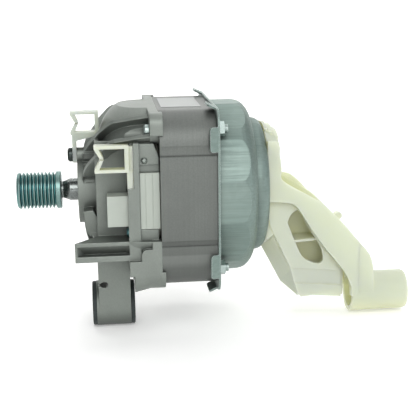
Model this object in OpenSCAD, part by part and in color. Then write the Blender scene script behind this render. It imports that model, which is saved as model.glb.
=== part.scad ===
// Washing machine drive motor with its front pivot, rear plastic arm, poly-V pulley and cable clips.
// Millimetres. The origin is the centre of the front pivot sleeve. X runs along the shaft, away from
// the pulley, Z is up, and the photographed side faces minus Y. The shaft axis lies above the pivot axis.

/* [Layout] */
// Height of the shaft axis above the pivot axis
shaft_height = 78.8; // [76:0.1:82]
// Distance from the pivot centre to the front face of the laminations
stack_front = 30.2; // [29:0.1:32]
// Length of the lamination stack
stack_length = 34.3; // [30:0.1:60]

/* [Pulley] */
// Number of V grooves
groove_count = 10; // [6:1:10]
// Distance from one groove to the next
groove_pitch = 2.34; // [2:0.01:2.4]
// Depth of a groove
groove_depth = 1.9; // [1:0.1:2.2]
// Diameter over the ribs
pulley_d = 23.6; // [20:0.1:26]
// Diameter of the rear flange
pulley_flange_d = 24.1; // [22:0.1:28]
// Width of the rear flange
pulley_flange_w = 3; // [2:0.1:4]
// Width of the plain front collar
pulley_collar_w = 1.6; // [1:0.1:3]

/* [Shaft] */
// Diameter under the pulley
pulley_seat_d = 10; // [8:0.1:11]
// Diameter of the bare neck in front of the hub
neck_d = 14.4; // [12:0.1:15]
// Length of the bare neck, its cone included
neck_length = 11; // [8:0.1:14]
// Diameter under the rotor core
core_seat_d = 20; // [19:0.1:24]
// Diameter of the rear stub that carries the speed magnet
stub_d = 8; // [6:0.1:9]

/* [Rotor] */
// Diameter of the stator bore
stator_bore_d = 64.7; // [62:0.1:66]
// Gap between rotor and stator on each side
air_gap = 0.35; // [0.25:0.05:0.6]
// Number of rotor bars
bar_count = 26; // [18:1:28]
// Diameter of a rotor bar
bar_d = 3.4; // [2.4:0.1:3.8]
// Length of each end ring
end_ring_length = 6; // [4:0.1:8]
// Number of fan blades on each end ring
blade_count = 8; // [5:1:12]
// Length of a fan blade
blade_length = 5; // [2:0.1:6]

/* [Stator] */
// Size across the flats of the laminations
stack_flats = 109.5; // [108:0.1:110]
// Corner radius of the laminations
stack_corner_r = 21.2; // [16:0.1:23]
// Number of stator slots
slot_count = 24; // [18:1:24]
// Thickness of the yoke behind the slots
yoke_t = 9.35; // [8.5:0.05:12]
// Depth of a slot that the end turns leave free
slot_rest = 1.4; // [1:0.1:3]
// Length of the end turns beyond the stack
end_turn_length = 13.5; // [10:0.1:15]
// Length of the plastic collar round the end turns
collar_length = 8; // [5:0.1:10]
// Depth of the shallow grooves down the sides of the stack
side_groove_depth = 0.5; // [0.2:0.1:1]

/* [Fasteners] */
// Distance of a through bolt from the flats of the laminations
bolt_inset = 11; // [10:0.1:12]
// Diameter of the through bolts
bolt_d = 5; // [4:0.1:5.2]
// Radial clearance of a bolt in its hole
bolt_clearance = 0.2; // [0.1:0.05:0.4]
// Width of a nut across its flats
nut_flats = 8; // [7:0.1:9]
// Height of a nut
nut_height = 4; // [3:0.1:5]
// Length of bolt that stands out of its nut
bolt_tip = 2.2; // [1:0.1:4]

/* [Front bearing] */
// Bore of the front bearing
front_bore_d = 17; // [15:0.1:18]
// Outer diameter of the front bearing
front_outer_d = 40; // [38:0.1:41]
// Width of the front bearing
front_width = 12; // [10:0.1:13]
// Ball diameter of the front bearing
front_ball_d = 6.75; // [5.5:0.05:7]
// Number of balls in the front bearing
front_balls = 8; // [6:1:8]

/* [Rear bearing] */
// Bore of the rear bearing
rear_bore_d = 15; // [14:0.1:16]
// Outer diameter of the rear bearing
rear_outer_d = 35; // [33:0.1:36]
// Width of the rear bearing
rear_width = 11; // [9:0.1:11.5]
// Ball diameter of the rear bearing
rear_ball_d = 5.95; // [5:0.05:6.2]
// Number of balls in the rear bearing
rear_balls = 8; // [6:1:8]

/* [Front shield] */
// Distance from the laminations to the front face of the hub
shield_depth = 50.2; // [49:0.1:52]
// Outer diameter of the hub
hub_d = 43.8; // [43:0.1:46]
// Length of the hub
hub_length = 16; // [15:0.1:17]
// Thickness of the bell between the legs
bell_wall = 3; // [2:0.1:4]
// Thickness of a leg's ribs
rib_t = 2.6; // [2:0.1:3.2]
// Corner radius of the lower ears and of the foot
lower_corner_r = 11; // [8:0.1:13]
// Thickness of the rim on the laminations
rim_t = 5.7; // [4:0.1:7]
// Length by which the corner ears lap over the laminations
ear_lap = 2.1; // [1:0.1:4]

/* [Terminal bay] */
// Depth of the bay's back plate below the flats of the laminations
bay_depth = 18.75; // [17:0.05:20]
// Distance of the shelf and the post below the flats of the laminations
bay_inset = 2.75; // [1:0.05:4]
// Height of the bay above its shelf
bay_height = 59.3; // [57:0.1:61]
// Thickness of the bay's plates
bay_wall = 2.5; // [2:0.1:3]
// Length of the shelf
shelf_length = 36.3; // [32:0.1:40]
// Height of the shelf
shelf_height = 12.2; // [10:0.1:13]
// Width of the post
post_w = 7.2; // [6:0.1:8]
// Height of the socket part of the connector
socket_height = 19; // [17:0.1:21]
// Length of the socket part of the connector
socket_length = 15.9; // [12:0.1:18]
// Wall of the socket
socket_wall = 1.5; // [1:0.1:2]
// Number of contact pins
pin_count = 6; // [3:1:6]

/* [Front pivot] */
// Outer diameter of the pivot barrel
barrel_d = 30; // [28:0.1:32]
// Length of the pivot barrel
barrel_length = 22.4; // [20:0.1:24]
// Bore of the barrel for the rubber bush
barrel_bore_d = 25; // [23:0.1:26]
// Thickness of each rubber rim outside the barrel
rubber_rim = 2.9; // [2:0.1:4]
// Outer diameter of the steel sleeve
sleeve_d = 14; // [13:0.1:15]
// Bore of the steel sleeve
sleeve_bore_d = 10.2; // [8:0.1:11]

/* [Rear cover] */
// Thickness of the pressed sheet
sheet_t = 1.3; // [1:0.1:1.6]
// Gap between the locating tabs and the flats of the laminations
tab_clearance = 0.75; // [0.3:0.05:1.5]
// Corner radius of the flange
flange_corner_r = 10; // [8:0.1:12]
// Gap between the front drum and the nuts beside it
drum_clearance = 1.1; // [0.8:0.02:2]
// Length of the front drum with its shoulder
drum_length = 26.3; // [24:0.1:30]
// Radius of the front drum's shoulder
shoulder_r = 11.3; // [9:0.1:12]
// Width of the step between the front drum's shoulder and the rear drum
drum_step = 1.2; // [0.6:0.1:3]
// Length of the rear drum
rear_drum_length = 8.6; // [8:0.1:12]
// Edge radius of the rear drum
rear_edge_r = 6; // [4:0.1:7]
// Length of a locating tab
tab_length = 5.8; // [3:0.1:8]
// Width of a locating tab
tab_width = 15; // [10:0.1:16]
// Angle by which a locating tab flares outwards
tab_flare = 25; // [10:1:35]
// Distance of a tab's middle from the corner of its side
tab_corner = 17.6; // [17.3:0.1:20]

/* [Rear arm] */
// Outer diameter of the tube at the end of the arm
tube_d = 27; // [25:0.1:29]
// Bore of the tube
tube_bore_d = 21; // [19:0.1:23]
// Length of the tube
tube_length = 39; // [34:0.1:44]
// Distance from the rear cover to the tube
arm_reach = 62; // [58:0.1:66]
// Thickness of the side straps
strap_t = 3; // [2:0.1:4]
// Thickness of the lower webs and ribs
web_t = 2.4; // [1.8:0.1:3]
// Half distance between the straps at the rear cover
strap_half = 29; // [28:0.1:31]
// Radius of the arm's mounting disc
disc_r = 41.4; // [40:0.1:43]
// Thickness of the mounting disc
disc_t = 9.2; // [8.5:0.1:11]

/* [Cable clips] */
// Width of the top clip
top_clip_w = 17.9; // [15:0.1:20]
// Height of the top clip
top_clip_h = 14.9; // [12:0.1:18]
// Width of the side clip
side_clip_w = 20.3; // [18:0.1:23]
// Height of the side clip
side_clip_h = 16.2; // [13:0.1:17]
// Thickness of the clips' bars
clip_t = 1.9; // [1.4:0.1:2.6]
// Depth of the clips along Y
clip_depth = 8; // [5:0.1:10]
// Gap between the two fingers of a clip
finger_gap = 0.6; // [0.3:0.1:1.5]

/* [Label] */
// Length of the rating label along the shaft
label_length = 24.8; // [20:0.1:27]
// Width of the rating label
label_width = 46; // [30:0.1:60]
// Thickness of the rating label
label_t = 0.2; // [0.1:0.05:0.4]

/* [Hidden] */
$fn = 64;

// Fits: parts that touch keep the seat gap, and pressed or glued parts keep the press gap
seat = 0.05;
press = 0.02;
eps = 0.01;

// Stations along the shaft
stack_rear = stack_front + stack_length;
stack_half = stack_flats / 2;
slot_bottom_r = stack_half - yoke_t;
end_turn_r = slot_bottom_r - slot_rest;
hub_front = stack_front - shield_depth;
hub_rear = hub_front + hub_length;
neck_front = hub_front + 1 - neck_length - 1;
pulley_rear = neck_front;
groove_rear = pulley_rear - pulley_flange_w;
groove_front = groove_rear - groove_count * groove_pitch;
pulley_front = groove_front - pulley_collar_w;
front_seat = hub_front + 2.8;
front_seat_end = front_seat + front_width;
flange_front = stack_rear + seat;
flange_rear = flange_front + sheet_t;
drum_end = flange_front + drum_length - seat;
cover_end = drum_end + rear_drum_length;
cup_end = cover_end + 1;
washer_t = 0.5;
rear_seat_end = cup_end - sheet_t - washer_t;
rear_seat = rear_seat_end - rear_width;
stub_end = cup_end + disc_t - 3;

// Rotor sizes
rotor_r = stator_bore_d / 2 - air_gap;
bar_circle_r = rotor_r - bar_d / 2 - 1.6;
end_ring_r = rotor_r - 1;
end_ring_bore_r = bar_circle_r - bar_d / 2 - 3.2;

// Hub and bell curves of the front shield
hub_r = hub_d / 2;
leg_rear = stack_front - 6.2;
leg_span = shield_depth - 9.2;
leg_base = hub_r - 1.9;
leg_top = stack_half + 10.25;
bell_span = leg_span - 9.5;
bell_top = leg_top - 6;
bell_power = 2.5;
rib_high = 8.5;
rib_low = 6;
curve_steps = 14;
ear_front = stack_front - rim_t;
ear_inner = stack_half - 12.6;
bolt_half = stack_half - bolt_inset;
bolt_r = bolt_d / 2;
bolt_hole_r = bolt_r + bolt_clearance;
head_t = 3.2;

// Terminal bay, measured from the shaft axis
bay_left = stack_front - 38.7;
bay_right = stack_front - 15.6;
bay_back = stack_half - bay_depth;
bay_front = stack_half - bay_inset;
shelf_top = -22.5;
bay_top = shelf_top + bay_height;
shelf_left = stack_front - 16.2 - shelf_length;
post_left = stack_front - 19.6;
post_back = bay_front - 4.6;
post_shoulder = 10;
post_top = bay_top + 0.7;
post_neck = 3.5;
socket_bottom = -14.2;
socket_left = stack_front - 32.2;
socket_back = socket_left + socket_length;
block_bottom = -15.6;
block_top = 19.2;
block_front = bay_front - 2;
block_back = bay_front - 5.2;
plate_front = bay_front - 1.6;
foot_front = stack_half + 0.1;
foot_wall = 3.2;
foot_run = 14;
foot_rise = stack_half + shelf_top - shelf_height - lower_corner_r + eps;
foot_kink = stack_front - 7.2;
toe_tilt = 13.6;
block_left = post_left + post_w + 0.2;
block_right = stack_front - 0.4;
earth_y = post_back - 3.4;
earth_z = shelf_top + 3.6;
bay_screw_x = block_left + 2.9;
bay_screw_z = bay_top - 10;

// Pivot and arm
barrel_half = barrel_length / 2;
sleeve_half = barrel_half + rubber_rim;
arm_half_depth = barrel_d / 2;
arm_left = 1.6 - barrel_half;
slot_z = barrel_d / 2 + 2.2;
tube_front = cover_end + arm_reach;
tube_r = tube_d / 2;
arm_bend = tube_front + 4;
arm_screw_r = disc_r - 10.8;
arm_screw_seat = cover_end + disc_t - 4;
arm_nut_t = 3.2;

// Rear cover, from the stack and the nuts
flange_half = stack_half + tab_clearance + sheet_t;
nut_corner = nut_flats / 2 / cos(30);
corner_turn = 4;
shelf_lip = 3.6;
dish_ring = 6.1;
drum_r = (bolt_half * sqrt(2) - nut_corner - drum_clearance) / cos(corner_turn);
rear_drum_r = drum_r - shoulder_r - drum_step;
tab_offset = flange_half - tab_corner;

// Clip screw boss on the hub
boss_y = -6;
boss_z = hub_r + 1.9;
boss_r = 4.6;
clip_screw_r = 2;

// Puts shaft features at the height of the shaft axis
module on_shaft() {
    translate([0, 0, shaft_height]) children();
}

// Turns a profile of [radius, x] points about the X axis
module turn(profile) {
    rotate([0, 90, 0]) rotate_extrude() polygon(profile);
}

// Extrudes an outline drawn in Y and Z along the X axis
module along_x(x0, x1) {
    translate([x0, 0, 0]) rotate([90, 0, 90]) linear_extrude(x1 - x0) children();
}

// Extrudes an outline drawn in X and Z from y0 to y1
module along_y(y0, y1) {
    translate([0, y1, 0]) rotate([90, 0, 0]) linear_extrude(y1 - y0) children();
}

// Box between two corners
module block(low, high) {
    translate(low) cube(high - low);
}

// Rod or drilled hole along X
module rod_x(x0, x1, r) {
    translate([x0, 0, 0]) rotate([0, 90, 0]) cylinder(h = x1 - x0, r = r);
}

// Square outline with round corners, centred
module round_square(half, r) {
    square([2 * half, 2 * (half - r)], center = true);
    square([2 * (half - r), 2 * half], center = true);
    for (y = [-1, 1], z = [-1, 1]) translate([y * (half - r), z * (half - r)]) circle(r);
}

// Part of an outline inside a rectangle
module clipped(x0, x1, y0 = -200, y1 = 200) {
    intersection() {
        children();
        translate([x0, y0]) square([x1 - x0, y1 - y0]);
    }
}

// Places children at the four through bolts
module at_bolts() {
    for (y = [-1, 1], z = [-1, 1]) translate([0, y * bolt_half, z * bolt_half]) children();
}

// Curved outline of the bell: its radius at a distance along the shaft
function bell_x(t) = leg_rear - bell_span * sin(t);
function bell_radius(x) = leg_base + (bell_top - leg_base)
    * pow(max(0, 1 - pow((leg_rear - x) / bell_span, bell_power)), 1 / bell_power);

// Smooth curve through a few points
function blend_point(a, b, c, d, t) = 0.5 * (2 * b + (c - a) * t + (2 * a - 5 * b + 4 * c - d) * t * t
    + (3 * b - a - 3 * c + d) * t * t * t);
function smooth(p, n) = [for (i = [0:len(p) - 2]) for (k = [0:n - 1])
    blend_point(p[max(i - 1, 0)], p[i], p[i + 1], p[min(i + 2, len(p) - 1)], k / n), p[len(p) - 1]];

// Outline of a leg's ribs, as shares of the leg's run to the hub and of its height over the hub
leg_curve = smooth([[0, 1], [0.17, 0.973], [0.34, 0.933], [0.5, 0.9], [0.585, 0.84], [0.65, 0.76],
    [0.727, 0.667], [0.778, 0.57], [0.91, 0.362], [0.975, 0.18], [1, 0]], 2);

module bell_profile(inset) {
    polygon(concat(
        [[0, stack_front], [bell_top - inset, stack_front]],
        [for (i = [0:curve_steps]) let (x = bell_x(90 * i / curve_steps) + inset * i / curve_steps)
            [max(leg_base - inset, bell_radius(bell_x(90 * i / curve_steps)) - inset), x]],
        [[0, bell_x(90) + inset]]));
}

// Bell of the shield: a thin domed wall between the hub and the rim
module bell() {
    difference() {
        intersection() {
            rotate([0, 90, 0]) rotate_extrude() bell_profile(0);
            along_x(hub_front, stack_front) round_square(stack_flats / 2, stack_corner_r);
        }
        intersection() {
            translate([eps, 0, 0]) rotate([0, 90, 0]) rotate_extrude() bell_profile(bell_wall);
            along_x(hub_front, stack_front + 1) round_square(stack_flats / 2 - bell_wall, stack_corner_r);
        }
    }
}

// One leg: two ribs that run from a corner ear down to the hub
module leg(angle, side) {
    rotate([angle, 0, 0])
        for (offset_y = [side * rib_high, -side * rib_low])
            along_y(offset_y - rib_t / 2, offset_y + rib_t / 2)
                polygon(concat(
                    [for (p = leg_curve) [leg_rear - leg_span * p[0],
                        leg_base + (leg_top - leg_base) * p[1]]],
                    [[leg_rear - leg_span, leg_base - 1.5], [bell_x(90) + 1, leg_base - 1.5]],
                    [for (i = [curve_steps:-1:0]) let (x = bell_x(90 * i / curve_steps))
                        [x + 1, bell_radius(x) - 1.5]],
                    [[ear_front + 1, bell_top - 1.5], [ear_front + 1, leg_top]]));
}

// Corner ear that carries a through bolt and laps over the laminations
module ears() {
    difference() {
        intersection() {
            along_x(ear_front, stack_front + ear_lap) {
                clipped(-200, 200, 0, 200) round_square(stack_half, 7);
                clipped(-200, 200, -200, eps) round_square(stack_half, lower_corner_r);
            }
            union() {
                for (y = [-1, 1], z = [-1, 1])
                    translate([0, y * (ear_inner + 10), z * (ear_inner + 10)])
                        cube([400, 20, 20], center = true);
                at_bolts() rod_x(ear_front - 1, stack_front + ear_lap + 1, 8);
            }
        }
        along_x(stack_front, stack_front + ear_lap + 1)
            round_square(stack_half + 0.15, stack_corner_r + 0.15);
    }
}

module rim() {
    along_x(ear_front, stack_front)
        difference() {
            round_square(stack_half, 14);
            circle(stack_half - 4.25);
        }
}

// Hub with the bearing seat, the shaft opening, the clip boss and the side pocket
module hub() {
    rod_x(hub_front, hub_rear, hub_r);
    translate([0, boss_y, boss_z]) rod_x(hub_front, hub_rear + 2, boss_r);
}

module hub_cuts() {
    rod_x(hub_front - 1, hub_rear + 1, front_outer_d / 2 - 3);
    rod_x(front_seat, hub_rear + 8, front_outer_d / 2 + press);
    translate([0, boss_y, boss_z]) rod_x(hub_front - 1, hub_front + 10, clip_screw_r);
    difference() {
        block([hub_front + 3.8, -hub_r - 1, 8], [bay_left - 0.5, boss_y - boss_r - 1, hub_r + 6]);
        rod_x(hub_front, hub_rear + 2, hub_r - 0.4);
    }
}

// Terminal bay on the near side: back plate, shelf with an undercut front, post, foot and block
module bay() {
    block([bay_left, -bay_back, shelf_top], [bay_right, bay_wall - bay_back, bay_top]);
    block([bay_left, -bay_back, shelf_top], [bay_left + bay_wall, 4 - hub_r, bay_top]);
    block([post_left + 1.2, -post_back, shelf_top], [bay_right, -bay_back, bay_top]);
    difference() {
        translate([0, 0, shelf_top - shelf_height])
            linear_extrude(shelf_height)
                polygon([[shelf_left, -bay_front], [post_left + post_w - 0.2, -bay_front],
                    [post_left + post_w - 0.2, -bay_back], [bay_left, -bay_back]]);
        along_x(shelf_left - 1, post_left + 1)
            polygon([[-bay_front - 1, shelf_top - shelf_height + shelf_lip], [-bay_front - 1, shelf_top - 2.4],
                [-bay_front + 0.5, shelf_top - 2.4], [-bay_front + 5.5, shelf_top - shelf_height + shelf_lip]]);
    }
    block([bay_left, -bay_back, shelf_top - shelf_height], [post_left + post_w - 0.2, -30, shelf_top]);
    block([post_left, -bay_front, shelf_top - shelf_height], [post_left + post_w, -post_back, post_shoulder]);
    block([post_left + post_w - post_neck, -bay_front, post_shoulder - eps],
        [post_left + post_w, -post_back, post_top]);
    along_y(-block_front, -block_back)
        polygon([[post_left + post_w - eps, block_top + 5], [stack_front - 0.6, block_top + 5],
            [stack_front - 0.6, block_top + 9.4], [stack_front - 3.4, bay_top],
            [post_left + post_w - eps, bay_top]]);
    block([post_left + post_w - eps, 1.6 - block_front, block_top + 0.2],
        [stack_front - 0.3, -block_back, block_top + 5 + eps]);
    along_y(4.5 - bay_back, 16 - bay_back)
        polygon([[hub_front + 3.4, -7.8], [hub_front + 9.2, -7.2], [bay_left + 0.6, -12.9],
            [bay_left + 1.6, -17], [bay_left + 0.2, shelf_top - 0.9], [bay_left - 2.6, shelf_top - 1.6],
            [bay_left - 4.9, shelf_top - 1.1], [bay_left - 6.7, shelf_top + 1.8]]);
    foot();
}

// Foot under the shelf: a plate and a raised pad beside the post, and a wall that turns under the stack
module foot() {
    low = shelf_top - shelf_height;
    right = stack_front - 1.4;
    block([post_left + post_w - eps, -plate_front, low - 1], [right, -block_back, block_bottom - 0.2]);
    along_y(-foot_front, eps - plate_front)
        foot_pad(post_left + post_w, right, low - 3, shelf_top - 4.8, 3.5);
    block([barrel_half - 0.7, -foot_front, low - 9.5], [sleeve_half - 0.6, 1 - arm_half_depth, low + eps]);
    difference() {
        foot_bar(sleeve_half - 0.7, 0, 0);
        foot_bar(sleeve_half + 1.3, foot_wall, 1);
    }
}

module foot_pad(left, right, low, high, r) {
    translate([left, low]) square([right - left, high - r - low]);
    translate([left + r, low]) square([right - left - r, high - low]);
    translate([left + r, high - r]) circle(r);
}

// Section of the foot's wall, filled behind it, with one round corner
module foot_section(inset, over) {
    r = lower_corner_r - inset;
    translate([lower_corner_r - foot_front, lower_corner_r - stack_half]) {
        circle(r);
        translate([-r, 0]) square([r + foot_run + over, foot_rise + over]);
        translate([0, -r]) square([foot_run + over, r + eps]);
    }
}

// Length of the foot from x0 to the rim, with a toe that tilts down towards the pulley
module foot_bar(x0, inset, over) {
    along_x(x0, stack_front - 1.4 + over) foot_section(inset, over);
    intersection() {
        block([x0 + press, -foot_front - 1, -stack_half - 10], [foot_kink, 0, lower_corner_r - stack_half + 2]);
        translate([foot_kink, press, -stack_half]) rotate([0, -toe_tilt, 0])
            translate([0, 0, stack_half]) along_x(-20, 1) foot_section(inset, over);
    }
}

// Space cut out of the bell and the rim for the bay
module bay_space() {
    block([bay_left - 6, -80, shelf_top], [stack_front + 1, -bay_back, bay_top]);
    block([post_left, -80, bay_top - eps], [stack_front + 1, -block_back, ear_inner]);
}

// Space in front of the pivot arm, under the shelf
module arm_space() {
    block([hub_front - 1, -80, -80],
        [barrel_half + 1.4, -arm_half_depth, shelf_top - shelf_height]);
}

// Arm down to the pivot barrel, with its relief slot
module pivot_arm() {
    block([arm_left, -arm_half_depth, 0], [barrel_half, arm_half_depth, shaft_height - 40]);
    block([arm_left, -4, shaft_height - 45], [bell_x(90) + 6, 4, shaft_height - hub_r + 1.5]);
    block([bay_left, -bay_back, shaft_height + shelf_top - shelf_height - 2],
        [barrel_half, -arm_half_depth + 2, shaft_height - 32]);
    rod_x(-barrel_half, barrel_half, barrel_d / 2);
}

module front_shield() {
    color("#8c928c")
    difference() {
        union() {
            on_shaft() {
                difference() {
                    union() {
                        bell();
                        rim();
                    }
                    bay_space();
                    arm_space();
                }
                ears();
                hub();
                bay();
                leg(45, 1);
                leg(-45, -1);
                difference() {
                    leg(135, -1);
                    arm_space();
                }
                leg(-135, 1);
            }
            pivot_arm();
        }
        on_shaft() {
            hub_cuts();
            turn([[0, bell_x(90) + bell_wall], [leg_base - 0.5, bell_x(90) + bell_wall],
                [leg_base - 0.5, 2], [bay_back + 4, 12], [bay_back + 4, stack_front + 1],
                [0, stack_front + 1]]);
            at_bolts() rod_x(ear_front - 1, stack_front + ear_lap + 1, bolt_hole_r);
            at_bolts() rod_x(post_left - 2, ear_front, nut_flats / 2 + 1.2);
            block([socket_left - 1, -post_back - eps, socket_bottom - 0.1],
                [bay_right + 1, -bay_back, socket_bottom + socket_height + 0.1]);
            translate([0, -earth_y, earth_z]) rod_x(post_left - 3, post_left + 6, 2);
            translate([bay_screw_x, -block_front - 2, bay_screw_z]) rotate([-90, 0, 0])
                cylinder(h = 6, r = 1.3);
            winding_space();
            clip_space();
        }
        rod_x(-barrel_half - 1, barrel_half + 1, barrel_bore_d / 2 + press);
        translate([0, 0, slot_z]) {
            block([-barrel_half - 1, -40, -1.1], [5.4 - barrel_half, 40, 1.1]);
            for (x = [4.8, 5.9]) translate([x - barrel_half, -40, 0]) rotate([-90, 0, 0])
                cylinder(h = 80, r = 1.9);
        }
    }
}

// Room for both cable clips on the outside of the shield
module clip_space() {
    gap = 0.3;
    block([post_left + 1.1 - side_clip_w - gap, -bay_front - 12, bay_top - side_clip_h - gap],
        [post_left + 1.1 + gap, clip_depth - bay_front - 2 + gap, bay_top + gap]);
    block([post_left + 1, -bay_front - 12, bay_top - side_clip_h + 1],
        [post_left + post_w - post_neck, -post_back, bay_top + gap]);
    block([hub_front - 4, boss_y - clip_depth / 2 - gap, boss_z + 12.3],
        [hub_front - 3.5 + top_clip_w + gap, boss_y + clip_depth / 2 + gap, boss_z + 13 + top_clip_h]);
}

// Room for the end turns and their collar inside the shield
module winding_space() {
    rod_x(stack_front - end_turn_length - 1.4, stack_front + 1, end_turn_r + 1.8);
}

module front_bush_rubber() {
    color("#2d3c3a")
    turn([[sleeve_d / 2 + press, -sleeve_half + 0.6], [barrel_d / 2 - 0.9, -sleeve_half + 0.1],
        [barrel_d / 2 - 0.3, -sleeve_half + 0.7], [barrel_d / 2 - 0.3, -barrel_half - seat],
        [barrel_bore_d / 2, -barrel_half - seat], [barrel_bore_d / 2, barrel_half + seat],
        [barrel_d / 2 - 0.3, barrel_half + seat], [barrel_d / 2 - 0.3, sleeve_half - 0.7],
        [barrel_d / 2 - 0.9, sleeve_half - 0.1], [sleeve_d / 2 + press, sleeve_half - 0.6]]);
}

module front_bush_sleeve() {
    color("#a8aeb0")
    difference() {
        rod_x(-sleeve_half, sleeve_half, sleeve_d / 2);
        rod_x(-sleeve_half - 1, sleeve_half + 1, sleeve_bore_d / 2);
    }
}

// One stator slot, seen along the shaft and pointing up
module slot_outline(gap) {
    neck = stator_bore_d / 2 + 2.2;
    polygon([[-2.1 + gap, neck + gap], [2.1 - gap, neck + gap], [3.2 - gap, slot_bottom_r - gap],
        [gap - 3.2, slot_bottom_r - gap]]);
}

module stator_core() {
    color("#7d807d")
    on_shaft()
        difference() {
            along_x(stack_front, stack_rear)
                difference() {
                    round_square(stack_flats / 2, stack_corner_r);
                    circle(stator_bore_d / 2);
                    for (i = [0:slot_count - 1]) rotate(360 * i / slot_count) {
                        slot_outline(0);
                        translate([-1, stator_bore_d / 2 - 1]) square([2, 4]);
                    }
                    for (side = [-1, 1]) translate([side * stack_flats / 2, 0])
                        for (low = [stack_half - 25.25, 28.65 - stack_half])
                            translate([-side_groove_depth, low])
                                square([2 * side_groove_depth, low > 0 ? 5.9 : 3.3]);
                }
            at_bolts() rod_x(stack_front - 1, stack_rear + 1, bolt_hole_r);
        }
}

module stator_winding() {
    color("#b06a38")
    on_shaft() {
        for (end = [0, 1])
            let (x0 = end == 0 ? stack_front - end_turn_length : stack_rear + 0.1,
                x1 = end == 0 ? stack_front - 0.1 : stack_rear + end_turn_length)
            turn([[stator_bore_d / 2 + 1.8, x0 + 2], [stator_bore_d / 2 + 3.8, x0],
                [end_turn_r - 2, x0], [end_turn_r, x0 + 2], [end_turn_r, x1 - 2],
                [end_turn_r - 2, x1], [stator_bore_d / 2 + 3.8, x1], [stator_bore_d / 2 + 1.8, x1 - 2]]);
        along_x(stack_front - 2, stack_rear + 2)
            for (i = [0:slot_count - 1]) rotate(360 * i / slot_count)
                intersection() {
                    slot_outline(0.15);
                    circle(end_turn_r - 0.5);
                }
    }
}

// Plastic collar that stands on the stack round the end turns
module winding_collar(x0, x1) {
    on_shaft()
        difference() {
            rod_x(x0, x1, end_turn_r + 1.2);
            rod_x(x0 - 1, x1 + 1, end_turn_r + 0.1);
        }
}

module front_winding_collar() {
    color("#e6e6dc") winding_collar(stack_front - collar_length, stack_front - seat);
}

module rear_winding_collar() {
    color("#e6e6dc") winding_collar(stack_rear + seat, stack_rear + collar_length);
}

module thermal_protector() {
    color("#30343a")
    on_shaft()
        rotate([180, 0, 0])
            block([stack_rear + collar_length + 0.3, -7, end_turn_r + 0.1],
                [stack_rear + collar_length + 5.1, 7, end_turn_r + 4.6]);
}

// White connector: a socket that opens forwards, and the housing beside the laminations
module connector_block() {
    color("#d0d6cd")
    on_shaft()
        difference() {
            union() {
                block([socket_left, -post_back + 0.2, socket_bottom],
                    [socket_back, -bay_back - 0.2, socket_bottom + socket_height]);
                block([socket_back - 1, -post_back + 0.2, socket_bottom],
                    [block_left + 2, -end_turn_r - 1.4, socket_bottom + socket_height]);
                block([block_left, -block_front, block_bottom], [block_right, -block_back - 0.1, block_top]);
            }
            block([socket_left - 1, -post_back + 0.2 + socket_wall, socket_bottom + socket_wall],
                [socket_back - 2.5, -bay_back - 0.2 - socket_wall,
                    socket_bottom + socket_height - socket_wall]);
            contact_rods(0.6 + press);
            for (x = [3, 7.4]) block([block_left + x, -block_front - 1, block_bottom - 1],
                [block_left + x + 0.4, 0.2 - block_front, block_top + 1]);
        }
}

module contact_rods(r) {
    step = (socket_height - 6) / max(1, pin_count - 1);
    for (i = [0:pin_count - 1])
        translate([0, -(post_back + bay_back) / 2, socket_bottom + 3 + step * i])
            rod_x(socket_left + 5, stack_front - end_turn_length - 0.3, r);
}

module contact_pins() {
    color("#b8a878") on_shaft() contact_rods(0.6);
}

// Pan head screw along X with its head at the front
module screw_x(x_head, head_r, head_h, shank_r, length) {
    difference() {
        union() {
            turn([[0, x_head - head_h], [head_r - 1, x_head - head_h], [head_r, x_head - head_h + 1],
                [head_r, x_head], [0, x_head]]);
            rod_x(x_head - eps, x_head + length, shank_r);
        }
        for (a = [0, 90]) rotate([a, 0, 0])
            block([x_head - head_h - 1, -head_r / 2, -0.5], [x_head - head_h + 1.2, head_r / 2, 0.5]);
    }
}

module earth_screw() {
    color("#5a8282")
    on_shaft() translate([0, -earth_y, earth_z]) screw_x(post_left + 1.2 - seat, 3.3, 2.4, 1.95, 4.5);
}

module bay_screw() {
    color("#5f7370")
    on_shaft()
        translate([bay_screw_x, -block_front - seat, bay_screw_z]) rotate([0, 0, 90])
            screw_x(0, 2, 1.2, 1.25, 3.5);
}

// Outline of a cable clip: a frame whose open side is two fingers that meet in a V
module clip_outline(w, h) {
    tip = 0.17 * w;
    polygon([[w, 0], [w, h], [0, h], [0, h - 0.9 * clip_t], [tip, (h + finger_gap) / 2],
        [tip + 1.1 * clip_t, (h + finger_gap) / 2], [1.5 * clip_t, h - clip_t],
        [w - 1.3 * clip_t, h - clip_t], [w - 1.3 * clip_t, clip_t], [1.5 * clip_t, clip_t],
        [tip + 1.1 * clip_t, (h - finger_gap) / 2], [tip, (h - finger_gap) / 2], [0, 0.9 * clip_t],
        [0, 0]]);
}

module cable_clip_top() {
    color("#c6cdbe")
    on_shaft()
        difference() {
            union() {
                along_y(boss_y - clip_depth / 2, boss_y + clip_depth / 2)
                    translate([hub_front - 3.5, boss_z + 13]) clip_outline(top_clip_w, top_clip_h);
                along_y(boss_y - clip_depth / 2, boss_y + clip_depth / 2)
                    polygon([[hub_front - 2.6, boss_z - boss_r], [hub_front - seat, boss_z - boss_r],
                        [hub_front - seat, boss_z + 8], [hub_front + 0.4, boss_z + 9.4],
                        [hub_front - 3.5 + top_clip_w, boss_z + 12.6],
                        [hub_front - 3.5 + top_clip_w, boss_z + 13.9], [hub_front - 2.6, boss_z + 13.9]]);
            }
            translate([0, boss_y, boss_z]) rod_x(hub_front - 8, hub_front + 1, clip_screw_r + 0.1);
        }
}

module clip_screw() {
    color("#50564f")
    on_shaft() translate([0, boss_y, boss_z])
        screw_x(hub_front - 2.6 - seat, 4.5, 3.2, clip_screw_r - 0.05, 10);
}

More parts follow.
